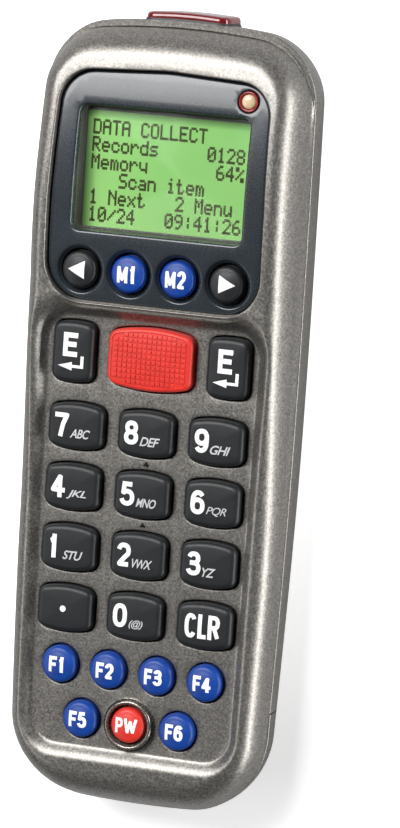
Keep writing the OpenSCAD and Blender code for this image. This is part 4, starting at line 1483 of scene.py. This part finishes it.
# ------------------------------------------------------------------ screws, pads, data window
def add_screw(geo, cx, cy, z0, head_r, shaft_r, length, head_h):
    """Pan-head screw, head down, with a cross recess and a threaded shaft."""
    n, shaft_n = 48, 24
    profile = [(0.98, head_h), (1.0, head_h - 0.08), (1.0, head_h * 0.5), (0.95, head_h * 0.26),
               (0.84, head_h * 0.1), (0.68, 0.02)]
    rings = [at_height(circle(cx, cy, head_r * r, n), z0 + up) for r, up in profile]
    arm_reach, arm_half = head_r * 0.6, head_r * 0.16
    cross = []
    for i in range(n):
        t = 2 * math.pi * i / n
        u = (t + math.pi / 4) % (math.pi / 2) - math.pi / 4  # angle from the nearest arm
        flank = arm_half / max(1e-6, abs(math.sin(u)))
        inner = arm_half * 1.42 / math.cos(abs(u) - math.pi / 4)
        r = min(arm_reach, max(flank, inner))
        cross.append((r * math.cos(t), r * math.sin(t)))
    for scale, up in ((1.04, 0), (0.98, 0.1), (0.7, head_h * 0.5), (0.3, head_h * 0.62)):
        rings.append([(cx + x * scale, cy + y * scale, z0 + up) for x, y in cross])
    geo.strip(rings, flip=True)
    geo.cap(rings[-1])
    shaft = [at_height(circle(cx, cy, shaft_r * 1.15, shaft_n), z0 + head_h)]
    thread_turns, thread_depth = 9, 0.14
    for j, z in enumerate(np.linspace(z0 + head_h, z0 + length - 0.4, thread_turns * 6 + 1)):
        turn = []
        for i in range(shaft_n):
            t = 2 * math.pi * i / shaft_n
            r = shaft_r - thread_depth * abs(math.sin((j / 6.0 + i / shaft_n) * math.pi))
            turn.append((cx + r * math.cos(t), cy + r * math.sin(t), z))
        shaft.append(turn)
    shaft.append(at_height(circle(cx, cy, 0.15, shaft_n), z0 + length))
    geo.strip(shaft)
    geo.cap(shaft[-1])
    geo.strip([rings[0], at_height(circle(cx, cy, shaft_r, n), z0 + head_h)])


def make_screws(name, places, replaces, **sizes):
    geo = Geo()
    for x, y in places:
        add_screw(geo, x, y, **sizes)
    piece(name, geo, [M_STEEL], replaces=replaces, angle=35)


def make_pads():
    geo = Geo()
    for x in PAD_XS:
        lathe(geo, x, PAD_Y, [(0.02, 0.19), (0.6, 0.17), (1.1, 0.15), (1.38, 0.17), (1.5, 0.25),
                              (1.55, 0.4), (1.55, 1.85), (2.1, 1.87), (2.1, 2.33)], 48, caps=True)
    piece("charge_pad_set", geo, [M_GOLD], replaces="charge_pads", angle=35)


def make_data_window():
    geo = Geo()
    rings = stack(lambda d: rounded_rect(0, DATA_Y, 12.0, 5.0, 0.7, 5, 8, d),
                  [(-0.5, 0.2), (-0.2, 0.22), (-0.05, 0.32), (0, 0.5), (0, 1.84)])
    flange = rounded_rect(0, DATA_Y, 14.0, 7.0, 0.7, 5, 8)
    rings += [at_height(flange, z) for z in (1.86, 2.42)]
    geo.strip(rings)
    geo.cap(rings[0], flip=True)
    geo.cap(rings[-1])
    piece("data_window_lens", geo, [M_IR], replaces="data_window")


make_rear()
make_door()
make_door_rails()
make_screws("case_screw_set", CASE_SCREWS, "case_screws", z0=5.68, head_r=1.9, shaft_r=0.72,
            length=7.6, head_h=1.3)
make_screws("board_screw_set", BOARD_SCREWS, "board_screws", z0=SEAM - 0.3 - 0.97, head_r=1.8,
            shaft_r=0.8, length=3.8, head_h=0.95)
make_pads()
make_data_window()

# ------------------------------------------------------------------ batteries
CELL_R, CELL_LENGTH, CELL_X = 5.15, 44.0, 5.55
CELL_Z = 1.42 + CELL_R
BAY_NEAR, BAY_FAR = BAY_Y + 0.8, BAY_Y + 47.0
SLEEVE, CAN, BAND = 0, 1, 2
# a cell from base to cap: (material slot, [(radius, distance from the base)])
CELL_PARTS = [
    (CAN, [(0.3, 0.12), (2.6, 0.10), (3.4, 0.02), (4.3, 0.0), (4.8, 0.08),
           (CELL_R - 0.12, 0.3), (CELL_R - 0.06, 0.6), (CELL_R, 0.7)]),
    (BAND, [(CELL_R, 0.7), (CELL_R, 1.2)]),
    (BAND, [(CELL_R, 1.2), (CELL_R, 12.0), (CELL_R, 12.05)]),
    (SLEEVE, [(CELL_R, 12.05), (CELL_R, 36.0), (CELL_R, 41.8), (CELL_R - 0.06, 42.1),
              (CELL_R - 0.2, 42.3)]),
    (CAN, [(CELL_R - 0.2, 42.3), (CELL_R - 0.45, 42.62), (4.2, 42.9), (3.2, 43.0), (2.05, 43.02),
           (1.92, 43.12), (1.9, 43.6), (1.82, 43.9), (1.6, 43.99), (0.03, 44.0)]),
]


def make_cells():
    """Two cells side by side, pointing opposite ways."""
    geo = Geo()
    for s in (1, -1):
        base_y = BAY_Y + (46.55 - CELL_LENGTH if s > 0 else 1.25 + CELL_LENGTH)
        for slot, profile in CELL_PARTS:
            lathe(geo, s * CELL_X, CELL_Z, [(r, base_y + s * along) for r, along in profile], 64,
                  slot, axis="y")
    piece("battery_cell_pair", geo, [M_CELL, M_STEEL, M_BAND],
          replaces="battery_cells", angle=35)


def add_wire(geo, path, r):
    n = 8
    points = [Vector(p) for p in path]
    up = Vector((0, 0, 1))
    rings = []
    for i, p in enumerate(points):
        t = (points[min(i + 1, len(points) - 1)] - points[max(i - 1, 0)]).normalized()
        a = t.cross(up).normalized()
        up = t.cross(a).normalized()
        rings.append([tuple(p + a * r * math.cos(2 * math.pi * k / n)
                            + up * r * math.sin(2 * math.pi * k / n)) for k in range(n)])
    geo.strip(rings)
    geo.cap(rings[0])
    geo.cap(rings[-1])


def plate_rings(loop, x, y, direction, profile):
    """Upright rings of a contact plate: profile is (scale, distance from y)."""
    return [[(x + a * scale, y + direction * out, CELL_Z + b * scale) for a, b in loop]
            for scale, out in profile]


def make_springs():
    """A wound cone of wire on its plate at one end of each cell."""
    geo = Geo()
    loop = rounded_rect(0, 0, 6.8, 6.8, 1.2, 5, 4)
    for s in (1, -1):
        y = BAY_NEAR if s > 0 else BAY_FAR
        rings = plate_rings(loop, s * CELL_X, y, s,
                            [(0.97, 0.0), (1.0, 0.04), (1.0, 0.2), (0.97, 0.24)])
        geo.strip(rings)
        geo.cap(rings[-1])
        path = []
        for i in range(105):
            t = i / 104
            a = 2 * math.pi * 3.2 * t
            r = 3.0 - 1.1 * t
            path.append((s * CELL_X + r * math.cos(a), y + s * (0.42 + 1.0 * t),
                         CELL_Z + r * math.sin(a)))
        add_wire(geo, path, 0.2)
    piece("battery_spring_pair", geo, [M_STEEL], replaces="battery_springs")


def make_plates():
    """A contact plate with a low boss at the other end of each cell."""
    geo = Geo()
    loop = rounded_rect(0, 0, 6.4, 6.4, 0.6, 5, 4)
    for s in (1, -1):
        rings = plate_rings(loop, s * CELL_X, BAY_FAR if s > 0 else BAY_NEAR, -s,
                            [(0.985, 0.0), (1.0, 0.05), (1.0, 0.25), (0.985, 0.3), (0.62, 0.3),
                             (0.5, 0.32), (0.36, 0.37), (0.2, 0.4), (0.03, 0.4)])
        geo.strip(rings)
        geo.cap(rings[-1])
        geo.cap(rings[0])
    piece("battery_plate_pair", geo, [M_STEEL], replaces="battery_plates")


make_cells()
make_springs()
make_plates()

# ------------------------------------------------------------------ parts kept from the frame
# name: (finish, bevel width)
CARRIED = {
    "lcd_holder": (M_OFFWHITE, 0.15), "lcd_backlight": (M_OFFWHITE, 0.1),
    "lcd_ribbon": (M_RIBBON, 0.04), "scan_engine": (M_DARK, 0.2),
    "scan_engine_lens": (M_LENS, 0.15), "scan_lamps": (M_LAMP, 0.05),
    "main_board": (M_BOARD, 0.06), "board_chips": (M_CHIP, 0.12), "key_contacts": (M_GOLD, 0.0),
    "keypad_mat": (M_DARK, 0.08), "buzzer": (M_DARK, 0.2), "backup_cell": (M_STEEL, 0.25),
    "battery_tray": (M_DARK, 0.25),
}
for name, (material, width) in CARRIED.items():
    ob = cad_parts[name]
    ob.data.materials.clear()
    ob.data.materials.append(material)
    for polygon in ob.data.polygons:
        polygon.material_index = 0
    if width:
        bevel_edges(ob, width)
    ob.modifiers.new("shade", "WEIGHTED_NORMAL")
    ob.data.shade_smooth()
    ob.data.set_sharp_from_angle(angle=math.radians(35))


# ------------------------------------------------------------------ studio
def link_object(name, data, matrix=None):
    ob = bpy.data.objects.new(name, data)
    if matrix is not None:
        ob.matrix_world = matrix
    bpy.context.scene.collection.objects.link(ob)
    return ob


def placed(x_axis, y_axis, z_axis, place):
    matrix = Matrix((x_axis, y_axis, z_axis)).transposed().to_4x4()
    matrix.translation = place
    return matrix


def paper_material():
    """Paper that glows for the camera, the glow fading towards -Y as painted shade of the terminal's
    shadow, and that is a darker grey without glow for every other ray.
    """
    m = Material("paper_floor", (0.93, 0.93, 0.935), 0.9)
    noise = m.noise(m.position(), 0.02)
    paper = m.ramp(noise, [(0.3, (0.925, 0.925, 0.93)), (0.7, (0.94, 0.94, 0.945))])
    seen = m.node("LightPath").outputs["Is Camera Ray"]
    axes = m.node("SeparateXYZ", {0: m.position()}).outputs
    # painted shade: the camera glow fades towards -Y, so the floor round the terminal's lower end
    # greys like its shadow
    glow = m.span(axes[1], -60.0, 20.0, 0.44, 0.90)  # brighter towards +Y
    m.set({"Base Color": m.mix(seen, (0.55, 0.55, 0.56), paper),
           "Emission Color": (1, 1, 1), "Emission Strength": m.math("MULTIPLY", seen, glow),
           "Specular IOR Level": 0.1})
    return m.data


def make_floor():
    mesh = bpy.data.meshes.new("floor")
    half, z = 3.0, -0.00006
    mesh.from_pydata([(-half, -half, z), (half, -half, z), (half, half, z), (-half, half, z)],
                     [], [(0, 1, 2, 3)])
    mesh.materials.append(paper_material())
    link_object("floor", mesh)


def area_light(name, direction, distance, size, power, along=(0, 1, 0)):
    """Light aimed at the terminal from a direction, its second side lying along a vector."""
    light = bpy.data.lights.new(name, "AREA")
    light.shape = "RECTANGLE"
    light.size, light.size_y = size
    light.energy = power
    light.spread = math.pi
    back = Vector(direction).normalized()
    y_axis = Vector(along) - back * Vector(along).dot(back)
    y_axis.normalize()
    target = Vector((0, 0, 0.015))
    link_object(name, light, placed(y_axis.cross(back), y_axis, back, target + back * distance))


def make_world():
    world = bpy.data.worlds.new("studio")
    bpy.context.scene.world = world
    world.use_nodes = True
    background = world.node_tree.nodes["Background"]
    background.inputs["Color"].default_value = (0.98, 0.99, 1.0, 1)
    background.inputs["Strength"].default_value = 0.11


def make_camera():
    camera = bpy.data.cameras.new("camera")
    camera.sensor_width = 36.0
    camera.sensor_fit = "AUTO"
    camera.lens = 225.97
    camera.clip_start, camera.clip_end = 0.01, 20
    right = Vector((0.9252, 0.0637, -0.3740)).normalized()
    up = Vector((-0.1076, 0.9894, -0.0976))
    up = (up - right * up.dot(right)).normalized()
    matrix = placed(right, up, right.cross(up), Vector((0.3611, 0.1280, 0.9081)))
    bpy.context.scene.camera = link_object("camera", camera, matrix)


make_floor()
area_light("key_top", (-0.36, 0.52, 0.77), 1.1, size=(0.82, 0.66), power=18.0,
           along=(0, 0.8, -0.6))
area_light("fill_left", (-0.74, -0.25, 0.62), 1.2, size=(0.35, 0.9), power=3.2)
area_light("strip_right", (0.95, -0.05, 0.125), 1.0, size=(0.20, 1.6), power=16.0)
make_world()
make_camera()
bpy.context.scene.view_settings.view_transform = "Standard"
